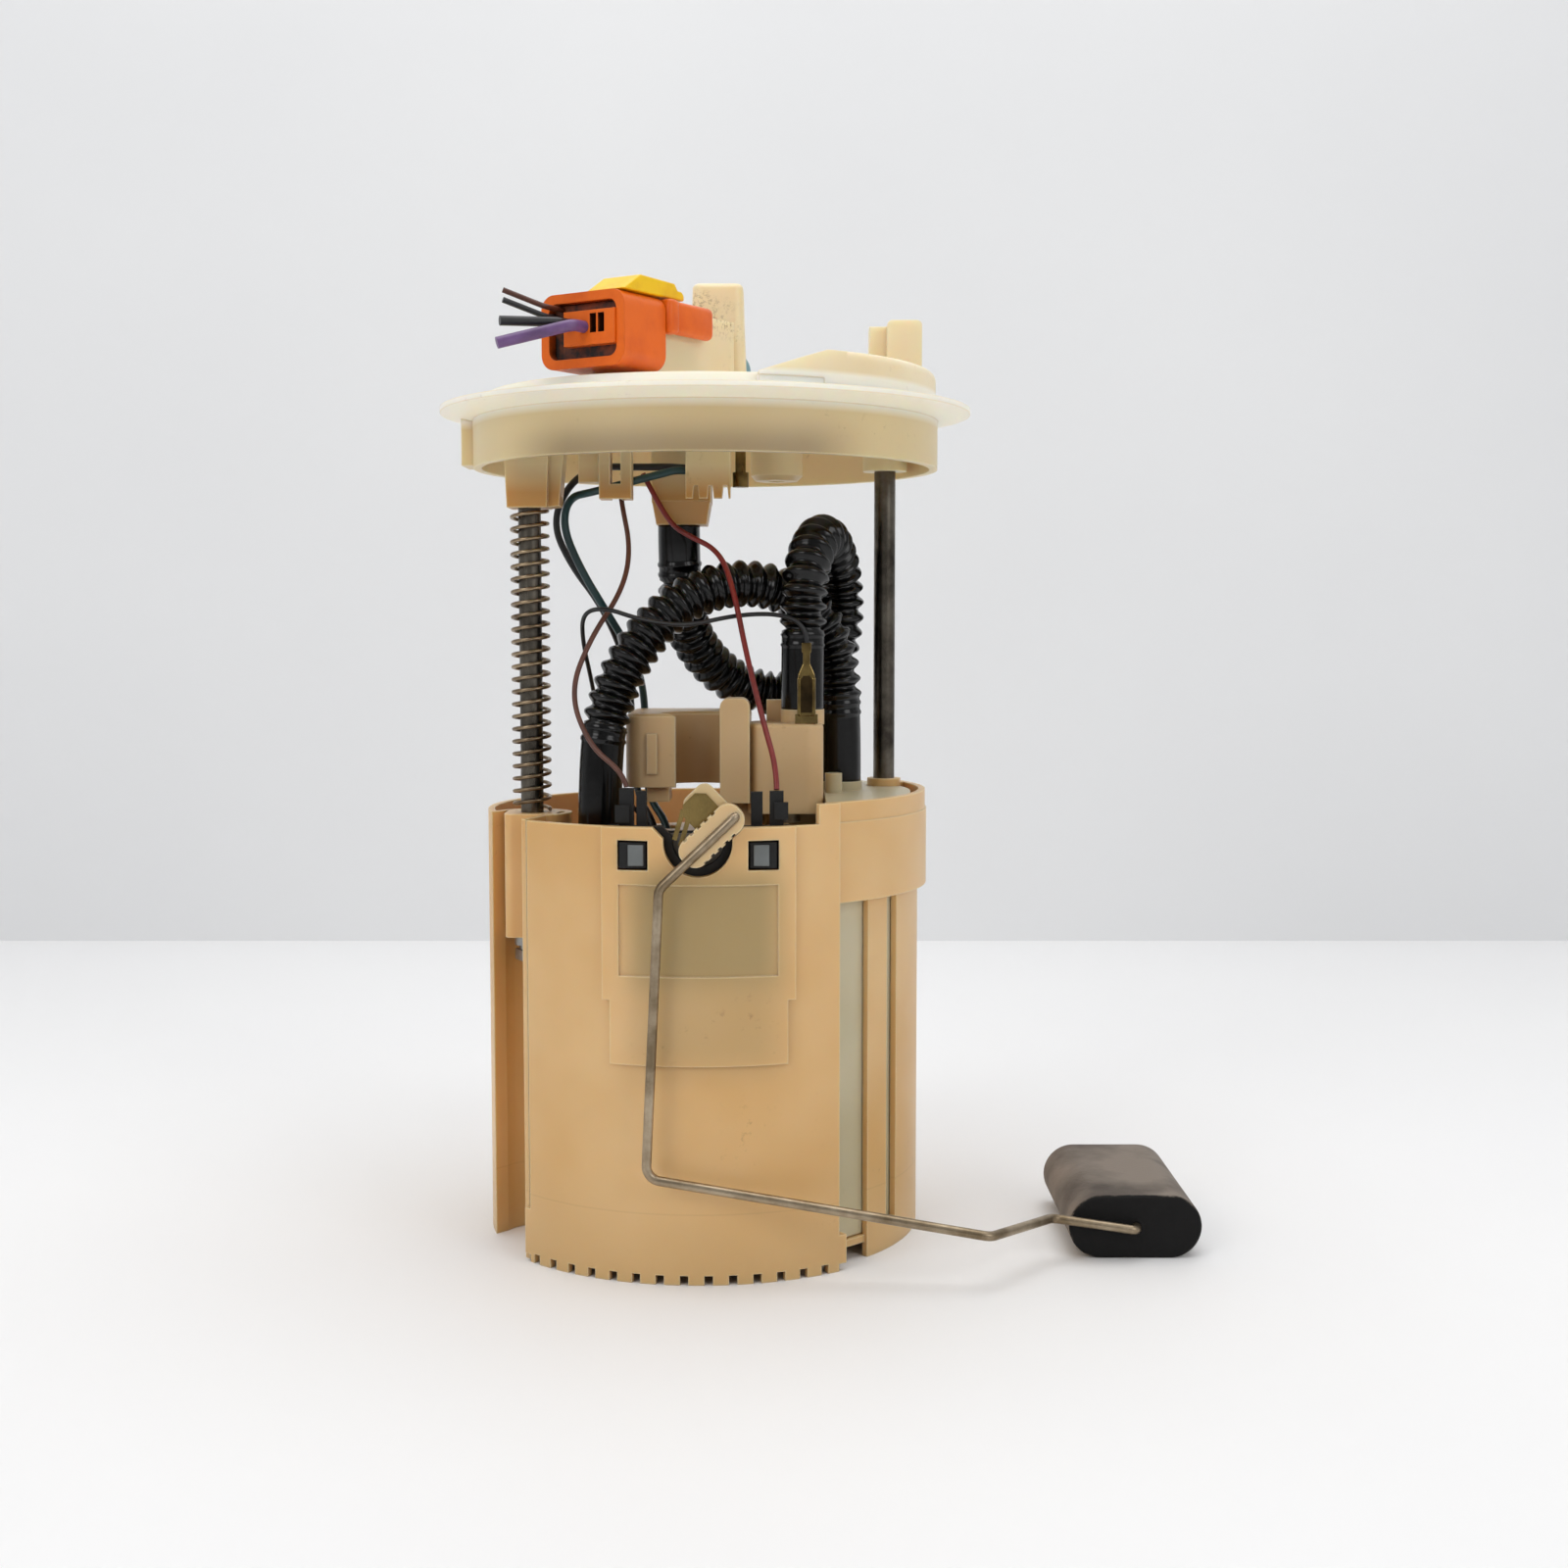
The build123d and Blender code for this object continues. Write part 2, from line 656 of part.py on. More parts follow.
def plug_insert():
    """Terminal carrier in the wire face, with the leads' holes and two spare cavities."""
    shape = across_bar(insert_across, insert_high, (-0.6, insert_end))
    for place in (2.9, 5.5):
        shape -= across_bar((place, place + 2.0), (-1.0, 3.8), (-2, 6))
    for name in ("lead_purple", "lead_black"):
        radius, (across, up), _ = cut_leads[name]
        shape -= plug_frame() * Pos(across, -up, 2) * Cylinder(radius + running, 8)
    return shape


def plug_lever():
    """Assist lever: two arms along the socket with a bridge over it behind the plug."""
    inner = shroud_half + loose
    start = plug_length + loose
    high = (lever_low, lever_high)
    shape = across_bar((inner, inner + lever_thick), high, (start, lever_end))
    shape += across_bar((-inner - lever_thick, -inner), high, (start, lever_end))
    shape = fillet(shape.edges().filter_by(Axis(plug_face, plug_frame().x_dir)), 2.5)
    over = (shroud_top - plug_face[2] + loose, lever_high)
    return shape + across_bar((-inner - 0.5, inner + 0.5), over, (start, bridge_end))


def cpa_lock():
    """Sliding lock on top of the plug."""
    base = plug_half_height + loose
    points = [(1, base), (4.5, base + lock_height), (lock_end - 3, base + lock_height - 0.8),
              (lock_end, base + lock_height - 2.4), (lock_end, base), (1, base)]
    side = Plane(origin=plug_face, x_dir=plug_frame().z_dir, z_dir=plug_frame().x_dir)
    profile = make_face(side * Polyline(*points, close=True))
    return extrude(profile, amount=lock_right) - extrude(profile, amount=lock_left)


def connector_pins():
    half = pin_width / 2
    along = (plug_length + 4, plug_length + nose_length + 6)
    first, *others = [across_bar((place - half, place + half), (-pin_thick / 2, pin_thick / 2), along)
                      for place in pin_places()]
    return first.fuse(*others)


def filter_plan(shrink=0.0):
    """The filter's crescent round the pump, clear of the pump head and the right guide tube."""
    plan = pie_plan(filter_radius, filter_start, filter_end)
    plan -= Pos(*pump_axis) * Circle(filter_bore)
    gap = 0.5
    front = (head_box_x[1] + gap, head_box_y[1] + gap)
    plan -= Pos(front[0] - 50, front[1] - 50) * Rectangle(100, 100)
    room = right_tube_radius + 0.4
    plan -= Pos(*right_rod) * Circle(room)
    x, y = right_rod
    turn = math.degrees(math.atan2(y, x))
    plan -= Rot(0, 0, turn) * Pos(math.hypot(x, y) + 5, 0) * Rectangle(10, 2 * room)
    return offset(plan, amount=-shrink, kind=Kind.INTERSECTION) if shrink else plan


def filter_canister():
    shape = raise_plan(filter_plan(), filter_low, filter_high)
    return shape - raise_plan(filter_plan(filter_wall), filter_low + filter_wall, filter_high + 1)


def filter_element():
    plan = filter_plan(filter_wall + loose + 1)
    return raise_plan(plan, filter_low + filter_wall + loose, filter_high - 4)


def filter_lid():
    nipple = hose_b_route[-1]
    shape = raise_plan(filter_plan(), filter_high, lid_high)
    shape += rod((35.8, -9.6), 2.4, lid_high - 0.5, lid_high + 5.6)
    return shape + rod(nipple[:2], hose_radius, lid_high - 0.5, nipple[2])


def pump_holder():
    inside = holder_radius - holder_wall
    shape = tube(pump_axis, holder_radius, inside, on_floor, holder_high)
    for turn in range(4):
        slot = box((10, holder_radius + 8), (-5, 5), (on_floor - 1, on_floor + 5))
        shape -= Pos(*pump_axis, 0) * Rot(0, 0, 45 + 90 * turn) * slot
    return shape - outlet_arm(1.0 - loose)


def pump_can():
    return tube(pump_axis, pump_radius, pump_radius - can_wall, pump_low, pump_high)


def pump_sleeve():
    outer = holder_radius - holder_wall - running
    return tube(pump_axis, outer, pump_radius, pump_low + 24, pump_high - 18)


def pump_inlet_cover():
    shape = rod(pump_axis, pump_radius - can_wall, pump_low, pump_low + 6)
    shape += rod(pump_axis, pump_radius, pump_low - 3, pump_low)
    x, y = pump_axis
    shape -= rod(pump_axis, shaft_radius + running, pump_low + 2, pump_low + 8)
    return shape - rod((x + 10, y), 3, 0, pump_low + 8)


def pump_end_cap():
    shape = rod(pump_axis, pump_radius, pump_high, cap_high)
    shape += rod(pump_axis, pump_radius - can_wall, pump_high - 8, pump_high)
    shape -= rod(pump_axis, shaft_radius + running, pump_high - 9, pump_high - 2)
    x, y = pump_axis
    return shape + box((x - 17.5, x - 9), (y + 4, y + 10), (cap_high - 0.5, cap_high + 4))


def magnets():
    x, y = pump_axis
    low, high = pump_low + 18, pump_high - 16
    ring = tube(pump_axis, pump_radius - can_wall - 0.02, armature_radius + air_gap, low, high)
    return ring - box((x - 3, x + 3), (y - 30, y + 30), (low - 1, high + 1))


def pump_rotor():
    """Shaft, slotted armature and commutator."""
    low, high = pump_low + 20, pump_high - 20
    core = rod(pump_axis, armature_radius, low, high)
    slot = box((armature_radius - 3.1, armature_radius + 1.4), (-0.7, 0.7), (low - 1, high + 1))
    for turn in range(pole_count):
        core -= Pos(*pump_axis, 0) * Rot(0, 0, 360 / pole_count * turn) * slot
    shaft = rod(pump_axis, shaft_radius, pump_low + 2.5, pump_high - 3)
    return shaft + core + rod(pump_axis, 6, high, high + 8)


def impeller():
    low = pump_low + 6.3
    high = low + impeller_thick
    disc = tube(pump_axis, impeller_radius, shaft_radius, low, high)
    slot = box((impeller_radius - 3, impeller_radius + 4.5), (-0.6, 0.6), (low - 1, high + 1))
    for turn in range(vane_count):
        disc -= Pos(*pump_axis, 0) * Rot(0, 0, 360 / vane_count * turn) * slot
    return disc


def suction_strainer():
    return rod(pump_axis, pump_radius - 4, on_floor, pump_low - 3 - 0.1)


def outlet_elbow():
    """Pump outlet: an arm from the end cap to the upright nipple of the filter hose."""
    end = hose_b_route[0]
    shape = outlet_arm(0) + rod(pump_axis, 5, cap_high, cap_high + 2 * elbow_half)
    return shape + rod(end[:2], hose_radius, cap_high - 1, end[2])


def outlet_arm(room):
    end = hose_b_route[0]
    x, y = pump_axis
    reach = math.hypot(end[0] - x, end[1] - y)
    turn = math.degrees(math.atan2(end[1] - y, end[0] - x))
    half = elbow_half + room
    arm = box((0, reach), (-half, half), (-half, half + 9 * room))
    return Pos(x, y, cap_high + elbow_half) * Rot(0, 0, turn) * arm


def pump_head():
    """Moulded head on the pump holder: hose connection, regulator housing and lead guides."""
    low = holder_high
    shape = head_cup()
    block = box(head_box_x, head_box_y, head_box_z)
    block = fillet(block.edges().filter_by(Axis.Z), 5)
    shape += fillet(block.faces().sort_by(Axis.Z)[-1].edges(), 1.2)
    rib = box((4.5, 12.6), (-28, -18), (low + 12, cup_z[1] + 4.4))
    shape += fillet(rib.edges().filter_by(Axis.Y).group_by(Axis.Z)[-1], 2.5)
    shape += box((17.0, 24.5), (-11, -7), (low + 30, head_box_z[1] + 6))
    shape += box((5, 20), (-21, -8), (low + 2, low + 14))
    x, y = pump_axis
    plate = rod(pump_axis, holder_radius, low, low + 2.5)
    shape += plate - box((x - 19.5, x - 8), (y + 2, y + 12), (low - 1, low + 4))
    nipple = hose_a_route[0]
    shape += rod(nipple[:2], hose_radius - 0.2, head_box_z[1] - 0.5, nipple[2])
    return shape - rod(regulator_centre, regulator_radius + 0.1, cap_high - 3, head_box_z[1] - 5.6)


def head_cup():
    """The open cup at the head's left, with its rib and its foot."""
    low, high = cup_z
    cup = box(cup_x, cup_y, cup_z)
    cup = fillet(cup.edges().filter_by(Axis.Z), 5) - rod(cup_mouth, 10, low - 26, high + 14)
    cup = chamfer(cup.faces().sort_by(Axis.Z)[-1].edges(), 0.8)
    cup += box((-15.6, -12.8), (cup_y[0] - 1, cup_y[0] + 1), (low + 3.7, high - 5.4))
    return cup + box((-15.9, -9.7), (-21, -8), (low - 4.2, low + 1))


def pressure_regulator():
    low, high = head_box_z
    shape = rod(regulator_centre, regulator_radius, low + 2, high - 5.9)
    return shape + rod(regulator_centre, regulator_radius / 2, low - 3, low + 2.5)


def sender_body():
    """Curved plate behind the front shell, with the arm's pin and the leads' crimp blocks."""
    half = half_angle(sender_half, sender_outer)
    shape = sector(-sender_face, sender_outer, -90 - half, -90 + half, sender_low, pot_height)
    shape -= sender_cut(cut_radius - 2.2, cut_mouth_half - 2.5)
    height = (sender_low, pot_height - 1.5)
    side = sender_plate_half
    shape += box((-side, side), (sender_face + 1.5, sender_face + 3.3), height)
    shape += box((-side, 3 - side), (sender_face - 1, sender_face + 3), height)
    shape += box((side - 3, side), (sender_face - 1, sender_face + 3), height)
    shape += along_y(0, pivot_z, pin_radius, hub_front + 1.2, sender_face + 3)
    block_deep = (sender_face + 0.8, sender_face + 3.4)
    for low, high, rise in ((-20.4, -16.7, 9.5), (-16.0, -13.4, 8.8), (13.4, 16.4, 8.6), (18.2, 21.8, 8.8)):
        shape += box((low, high), block_deep, (pot_height - 4, pot_height + rise))
    tab_deep = (sender_face - 0.6, sender_face + 1.6)
    shape += box((-21.4, -17.6), tab_deep, (pot_height + 0.8, pot_height + 5.2))
    shape += box((19.4, 23.0), tab_deep, (pot_height + 1.6, pot_height + 6.0))
    for x in (-hook_place, hook_place):
        shape += box((x - hook_half + 0.2, x + hook_half - 0.2), (sender_face - 1.5, sender_face + 2),
                     (window_low + 0.6, window_high - 0.6))
    return shape


def sender_hooks():
    deep = (sender_face - 3.8, sender_face - 2.0)
    height = (window_low + 0.5, window_high - 0.5)
    left = box((-hook_place - hook_half, hook_half - hook_place), deep, height)
    return left + box((hook_place - hook_half, hook_place + hook_half), deep, height)


def resistor_card():
    card = box((-8, 7), (sender_face + 0.8, sender_face + 1.5), (sender_low + 2, pot_height - 2))
    return card - along_y(0, pivot_z, pin_radius + loose, sender_face - 1, sender_face + 9)


def float_arm():
    path = FilletPolyline(*arm_route, radius=arm_bends)
    section = Plane(origin=path @ 0, z_dir=path % 0) * Circle(wire_radius)
    return sweep(section, path=path)


def along_y(x, z, radius, low, high):
    return Pos(x, (low + high) / 2, z) * Rot(90, 0, 0) * Cylinder(radius, high - low)


def arm_holder():
    """Hub on the sender's pin, with the bar that the arm is clipped into."""
    hub = along_y(0, pivot_z, hub_radius, hub_front, hub_back)
    turn = Pos(0, 0, pivot_z) * Rot(0, -holder_turn, 0)
    bar = box(bar_along, (arm_y - 0.2, wiper_y[0]), (-bar_half, bar_half))
    bar = fillet(bar.edges().filter_by(Axis.Y), bar_half - 0.4)
    for index in range(rib_count):
        middle = rib_first + index * rib_pitch
        groove = (middle - rib_pitch / 4, middle + rib_pitch / 4)
        bar -= box(groove, (arm_y - 1, hub_back), (-bar_half - 1, 0.5 - bar_half))
        bar -= box(groove, (arm_y - 1, hub_back), (bar_half - 0.5, bar_half + 1))
    back = box((4.5, 13.5), (wiper_y[1], wiper_y[1] + 0.6), (-1.5, 11.4))
    back = fillet(back.edges().filter_by(Axis.Y), 2.5)
    shape = hub + turn * bar + turn * back
    shape -= along_y(0, pivot_z, pin_radius + running, hub_front + 1, -front_cut)
    return shape - float_arm()


def wiper_plate():
    """Spring plate behind the bar, with two contact fingers."""
    turn = Pos(0, 0, pivot_z) * Rot(0, -holder_turn, 0)
    plate = box((3.0, 11.2), wiper_y, (-3, 10.6))
    plate = chamfer(plate.edges().filter_by(Axis.Y).sort_by(Axis.Z)[-2:], 2.0)
    for start in (7.4, 9.6):
        plate += Pos(4.2, 0, start) * Rot(0, -finger_turn, 0) * box((-8.0, 0), wiper_y, (-0.6, 0.6))
    x, _, z = arm_route[0]
    hub = along_y(0, pivot_z, hub_radius, arm_y, hub_back)
    wire = along_y(x, z, wire_radius + running, arm_y, hub_back)
    return turn * plate - hub - wire


def level_float():
    x, z = float_centre
    back = float_front + float_length
    end = Plane(origin=(x, back, z), x_dir=(1, 0, 0), z_dir=(0, -1, 0))
    shape = extrude(end * SlotOverall(2 * float_half, 2 * float_round), amount=float_length)
    faces = shape.faces().sort_by(Axis.Y)
    shape = chamfer(faces[0].edges() + faces[-1].edges(), 0.6)
    return shape - along_y(x, z, float_hole, float_front - 1, back + 1)


def float_retainer():
    x, z = float_centre
    back = float_front + float_length + loose
    disc = along_y(x, z, retainer_radius, back, back + retainer_thick)
    return disc - along_y(x, z, wire_radius, back - 1, back + retainer_thick + 1)


def route_radii(points):
    """Each bend is as large as its two runs allow."""
    radii = []
    for before, corner, after in zip(points, points[1:], points[2:]):
        arriving = Vector(*corner) - Vector(*before)
        leaving = Vector(*after) - Vector(*corner)
        half_turn = math.radians(arriving.get_angle(leaving)) / 2
        radii.append(0.45 * min(arriving.length, leaving.length) / math.tan(half_turn))
    return radii


def cord(name, points, radius):
    radii = route_radii(points)
    path = FilletPolyline(*points, radius=radii)
    section = Plane(origin=path @ 0, z_dir=path % 0) * Circle(radius)
    shape = sweep(section, path=path)
    expected = math.pi * radius ** 2 * path.length
    print(name, "length", round(path.length, 1), "bends", [round(value, 1) for value in radii],
          "volume ratio", round(shape.volume / expected, 4))
    return shape


def cut_lead(name):
    radius, (across, up), end = cut_leads[name]
    frame = plug_frame()
    inside = frame * Pos(across, -up, 3.0 if across < -6 else 5.5)
    outside = frame * Pos(across, -up, -5.0)
    points = [inside.position, outside.position, Vector(*plug_face) + Vector(*end)]
    path = FilletPolyline(*points, radius=max(3 * radius, 2.5))
    section = Plane(origin=path @ 0, z_dir=path % 0) * Circle(radius)
    return sweep(section, path=path)


def brass_terminal():
    """Flat tab on the regulator housing, crimped to the earth lead."""
    x, y, z = ground_route[0]
    top = head_box_z[1]
    shape = box((x - 3.1, x + 3.1), (y - 0.5, y + 0.5), (top, top + 12.9))
    shape += rod((x, y), 1.3, top + 12.4, z)
    return shape + box((x - 1.7, x + 1.7), (y - 0.9, y + 0.9), (top, top + 5))


def vent_valve():
    low = collar_low - 2.2
    shape = rod(vent_centre, vent_radius, low, plate_top - plate_thick)
    shape = chamfer(shape.faces().sort_by(Axis.Z)[0].edges(), 1.5)
    return shape - rod(vent_centre, vent_radius - 4.9, low - 1, low + 10.5)


def ground_tab():
    low = left_boss_low + 6
    shape = box((8.6, 11.4), (-16.5, -15.7), (low + 2, plate_top - plate_thick))
    return shape + rod((10, -16.1), 2.2, low, low + 4)


def outlet_ring():
    """Coloured ring that marks the outlet pipe."""
    near = tower_y[1] + tower_taper + running
    far = tower_y[1] + outlet_bead - running
    ring = along_y(outlet_x, outlet_z, ring_radius, near, far)
    return ring - along_y(outlet_x, outlet_z, outlet_radius + running, near - 1, far + 1)


def foot_valve():
    """Rubber umbrella over the inlet in the pot's floor."""
    top = floor_low + floor_thick
    cap = rod(foot_valve_centre, valve_radius, top + 0.1, top + 1.3)
    return cap + rod(foot_valve_centre, valve_stem_radius, floor_low - 1.5, top + 0.5)


def jet_pump():
    """Block behind the pump with the mixing tube that refills the pot."""
    low = on_floor
    shape = box((-18, 2), (28, 38), (low, low + 12))
    shape = fillet(shape.edges().filter_by(Axis.Z), 2)
    middle = Pos(-26, 33, low + 6) * Rot(0, 90, 0)
    return shape + middle * Cylinder(4, 17) - middle * Cylinder(2.6, 20)


def jet_nozzle():
    return tube((-8, 33), 3.2, 1.2, on_floor + 12, on_floor + 26)


os.makedirs("parts", exist_ok=True)

parts = {
    "reservoir_pot": reservoir_pot(),
    "foot_valve": foot_valve(),
    "suction_strainer": suction_strainer(),
    "pump_holder": pump_holder(),
    "pump_sleeve": pump_sleeve(),
    "pump_can": pump_can(),
    "pump_inlet_cover": pump_inlet_cover(),
    "pump_end_cap": pump_end_cap(),
    "pump_magnets": magnets(),
    "pump_armature": pump_rotor(),
    "pump_impeller": impeller(),
    "outlet_elbow": outlet_elbow(),
    "pump_head": pump_head(),
    "pressure_regulator": pressure_regulator(),
    "filter_canister": filter_canister(),
    "filter_element": filter_element(),
    "filter_lid": filter_lid(),
    "jet_pump_body": jet_pump(),
    "jet_nozzle": jet_nozzle(),
    "sender_body": sender_body(),
    "sender_hooks": sender_hooks(),
    "resistor_card": resistor_card(),
    "brass_terminal": brass_terminal(),
    "guide_rod_left": guide_rod(left_rod),
    "guide_rod_right": guide_rod(right_rod),
    "rod_clip": rod_clip(left_rod),
    "return_spring": return_spring(),
    "flange_cover": flange_cover(),
    "vent_valve": vent_valve(),
    "ground_tab": ground_tab(),
    "outlet_ring": outlet_ring(),
    "connector_pins": connector_pins(),
    "plug_housing": plug_housing(),
    "plug_insert": plug_insert(),
    "plug_lever": plug_lever(),
    "cpa_lock": cpa_lock(),
    "arm_holder": arm_holder(),
    "wiper_plate": wiper_plate(),
    "float_arm": float_arm(),
    "level_float": level_float(),
    "float_retainer": float_retainer(),
    "hose_outlet": cord("hose_outlet", hose_a_route, hose_radius),
    "hose_filter": cord("hose_filter", hose_b_route, hose_radius),
    "wire_red": cord("wire_red", red_route, red_radius),
    "wire_brown": cord("wire_brown", brown_route, brown_radius),
    "wire_teal": cord("wire_teal", teal_route, teal_radius),
    "wire_black": cord("wire_black", black_route, black_radius),
    "wire_ground": cord("wire_ground", ground_route, ground_radius),
}
for name in cut_leads:
    parts[name] = cut_lead(name)

for name, shape in parts.items():
    export_step(shape, f"parts/{name}.step")
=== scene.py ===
import bpy
import bmesh
import math
from mathutils import Matrix, Vector


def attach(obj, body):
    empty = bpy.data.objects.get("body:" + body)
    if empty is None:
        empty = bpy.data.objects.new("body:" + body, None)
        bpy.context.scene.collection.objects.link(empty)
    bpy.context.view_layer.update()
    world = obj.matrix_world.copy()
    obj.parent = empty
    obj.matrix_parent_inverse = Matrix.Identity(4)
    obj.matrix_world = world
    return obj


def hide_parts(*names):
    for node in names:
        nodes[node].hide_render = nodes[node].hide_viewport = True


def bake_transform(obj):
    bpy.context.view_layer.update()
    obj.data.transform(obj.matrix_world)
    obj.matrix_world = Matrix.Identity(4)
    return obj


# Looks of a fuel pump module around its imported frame. Metres, +Z up, the origin on the pot's
# axis at the surface it stands on, the level sender on the -Y side.

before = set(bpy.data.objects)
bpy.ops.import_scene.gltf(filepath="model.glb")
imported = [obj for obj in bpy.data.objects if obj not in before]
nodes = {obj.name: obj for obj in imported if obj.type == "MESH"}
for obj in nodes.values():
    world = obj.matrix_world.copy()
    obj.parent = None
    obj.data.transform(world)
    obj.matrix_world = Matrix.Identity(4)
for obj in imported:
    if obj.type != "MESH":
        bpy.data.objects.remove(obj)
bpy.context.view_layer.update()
mm = 0.001  # one millimetre in metres


# ---------------------------------------------------------------- colours and materials

def linear(code):
    """An sRGB hex colour as linear RGBA."""
    values = [int(code[i:i + 2], 16) / 255 for i in (1, 3, 5)]
    return [v / 12.92 if v <= 0.04045 else ((v + 0.055) / 1.055) ** 2.4 for v in values] + [1.0]


def add(tree, kind, settings=None, links=None, out=0):
    """Adds one node with its settings and links, and gives back one of its outputs."""
    made = tree.nodes.new(kind)
    for key, value in (settings or {}).items():
        if isinstance(key, str) and hasattr(made, key):
            setattr(made, key, value)
        else:
            made.inputs[key].default_value = value
    for key, source in (links or {}).items():
        tree.links.new(source, made.inputs[key])
    return made.outputs[out] if made.outputs else None


def fresh(name):
    """A new material without nodes, and its node tree."""
    material = bpy.data.materials.new(name)
    material.use_nodes = True
    material.node_tree.nodes.clear()
    return material, material.node_tree


# The colour inputs of a Mix node are its sockets 6 and 7, and its colour output is 2
colour_a, colour_b, colour_out = 6, 7, 2


def acetal(name, clean, aged, dirt_and_shade, dirt_and_shade_share, glow, depth=4.0, tone_by_height=(), painted_shades=(),
           specks_on=None, line_at=None):
    """Acetal as moulded: satin, waxy and a little translucent. A painted highlight pales its edges,
    and painted shade darkens its corners and its front where dark pieces are behind it. Fuel has
    yellowed it in soft clouds, and fine grime sits in specks and smears.

    glow is the share of light that goes into it, and depth how far it goes, in millimetres.
    tone_by_height has (low, high, tone): below low in metres the tone is that one.
    painted_shades has (middle X, half width, low, high, softness, tone, share), in millimetres,
    for painted shade on the front where something dark is behind it.
    specks_on has (from Z, from X, to X) in millimetres of a heavily specked place.
    line_at is the height of a mould line, in metres."""
    material, tree = fresh(name)
    place = add(tree, "ShaderNodeTexCoord", out="Object")
    x = add(tree, "ShaderNodeSeparateXYZ", {}, {0: place}, out="X")
    y = add(tree, "ShaderNodeSeparateXYZ", {}, {0: place}, out="Y")
    height = add(tree, "ShaderNodeSeparateXYZ", {}, {0: place}, out="Z")

    # clouds of about 60 mm, clean to aged
    cloud = add(tree, "ShaderNodeTexNoise", {"Scale": 16.0, "Detail": 3.0, "Roughness": 0.55},
                {"Vector": place})
    age = add(tree, "ShaderNodeMapRange", {"From Min": 0.36, "From Max": 0.68}, {"Value": cloud})
    tone = add(tree, "ShaderNodeMix",
               {"data_type": "RGBA", colour_a: linear(clean), colour_b: linear(aged)},
               {0: age}, out=colour_out)
    for low, high, lower_tone in tone_by_height:
        below = add(tree, "ShaderNodeMapRange", {"From Min": high, "From Max": low},
                    {"Value": height})
        tone = add(tree, "ShaderNodeMix", {"data_type": "RGBA", colour_b: linear(lower_tone)},
                   {0: below, colour_a: tone}, out=colour_out)

    # painted shade on the front where something dark is behind it
    for middle, half, low, high, soft, shade, share in painted_shades:
        off = add(tree, "ShaderNodeMath", {"operation": "SUBTRACT", 1: middle * mm}, {0: x})
        off = add(tree, "ShaderNodeMath", {"operation": "ABSOLUTE"}, {0: off})
        shaded = add(tree, "ShaderNodeMapRange",
                     {"interpolation_type": "SMOOTHSTEP", "From Min": (half + soft) * mm,
                      "From Max": (half - soft) * mm, "To Max": share}, {"Value": off})
        above = add(tree, "ShaderNodeMapRange",
                    {"interpolation_type": "SMOOTHSTEP", "From Min": (low - soft) * mm,
                     "From Max": (low + soft) * mm}, {"Value": height})
        below = add(tree, "ShaderNodeMapRange",
                    {"interpolation_type": "SMOOTHSTEP", "From Min": (high + soft) * mm,
                     "From Max": (high - soft) * mm}, {"Value": height})
        front = add(tree, "ShaderNodeMapRange", {"From Min": -20 * mm, "From Max": -40 * mm},
                    {"Value": y})
        for mask in (above, below, front):
            shaded = add(tree, "ShaderNodeMath", {"operation": "MULTIPLY"}, {0: shaded, 1: mask})
        tone = add(tree, "ShaderNodeMix", {"data_type": "RGBA", colour_b: linear(shade)},
                   {0: shaded, colour_a: tone}, out=colour_out)

    # a painted highlight on the edges, standing for light through thin acetal: there the rounded
    # normal leaves the flat one
    edge = add(tree, "ShaderNodeBevel", {"samples": 4, "Radius": 0.55 * mm})
    flat = add(tree, "ShaderNodeNewGeometry", out="Normal")
    turn = add(tree, "ShaderNodeVectorMath", {"operation": "DOT_PRODUCT"}, {0: edge, 1: flat},
               out="Value")
    thin = add(tree, "ShaderNodeMapRange", {"From Min": 0.995, "From Max": 0.90, "To Max": 0.8},
               {"Value": turn})
    tone = add(tree, "ShaderNodeMix", {"data_type": "RGBA", colour_b: linear("#F3DDB2")},
               {0: thin, colour_a: tone}, out=colour_out)

    # painted shade in the corners, within 3 mm of them
    hollow = add(tree, "ShaderNodeAmbientOcclusion",
                 {"samples": 4, "only_local": True, "Distance": 3.0 * mm}, out="AO")
    corner = add(tree, "ShaderNodeMapRange", {"From Min": 0.60, "From Max": 0.20, "To Max": 0.45},
                 {"Value": hollow})

    # specks of 2 mm and less, in smears of about 40 mm
    speck = add(tree, "ShaderNodeTexNoise", {"Scale": 420.0, "Detail": 5.0, "Roughness": 0.7},
                {"Vector": place})
    dots = add(tree, "ShaderNodeMapRange",
               {"From Min": 0.60, "From Max": 0.72, "To Max": dirt_and_shade_share},
               {"Value": speck})
    smear = add(tree, "ShaderNodeTexNoise", {"Scale": 24.0, "Detail": 4.0, "Distortion": 0.8},
                {"Vector": place})
    where = add(tree, "ShaderNodeMapRange", {"From Min": 0.55, "From Max": 0.72}, {"Value": smear})
    spots = add(tree, "ShaderNodeMath", {"operation": "MULTIPLY"}, {0: dots, 1: where})
    if specks_on:
        from_z, from_x, to_x = specks_on
        fine = add(tree, "ShaderNodeTexNoise", {"Scale": 900.0, "Detail": 3.0, "Roughness": 0.8},
                   {"Vector": place})
        heavy = add(tree, "ShaderNodeMapRange", {"From Min": 0.50, "From Max": 0.62, "To Max": 0.7},
                    {"Value": fine})
        above = add(tree, "ShaderNodeMapRange",
                    {"From Min": from_z * mm, "From Max": (from_z + 6) * mm}, {"Value": height})
        left = add(tree, "ShaderNodeMapRange", {"From Min": to_x * mm, "From Max": (to_x - 4) * mm},
                   {"Value": x})
        right = add(tree, "ShaderNodeMath", {"operation": "GREATER_THAN", 1: from_x * mm}, {0: x})
        patch = add(tree, "ShaderNodeMapRange", {"From Min": 0.44, "From Max": 0.52},
                    {"Value": smear})
        for mask in (above, left, right, patch):
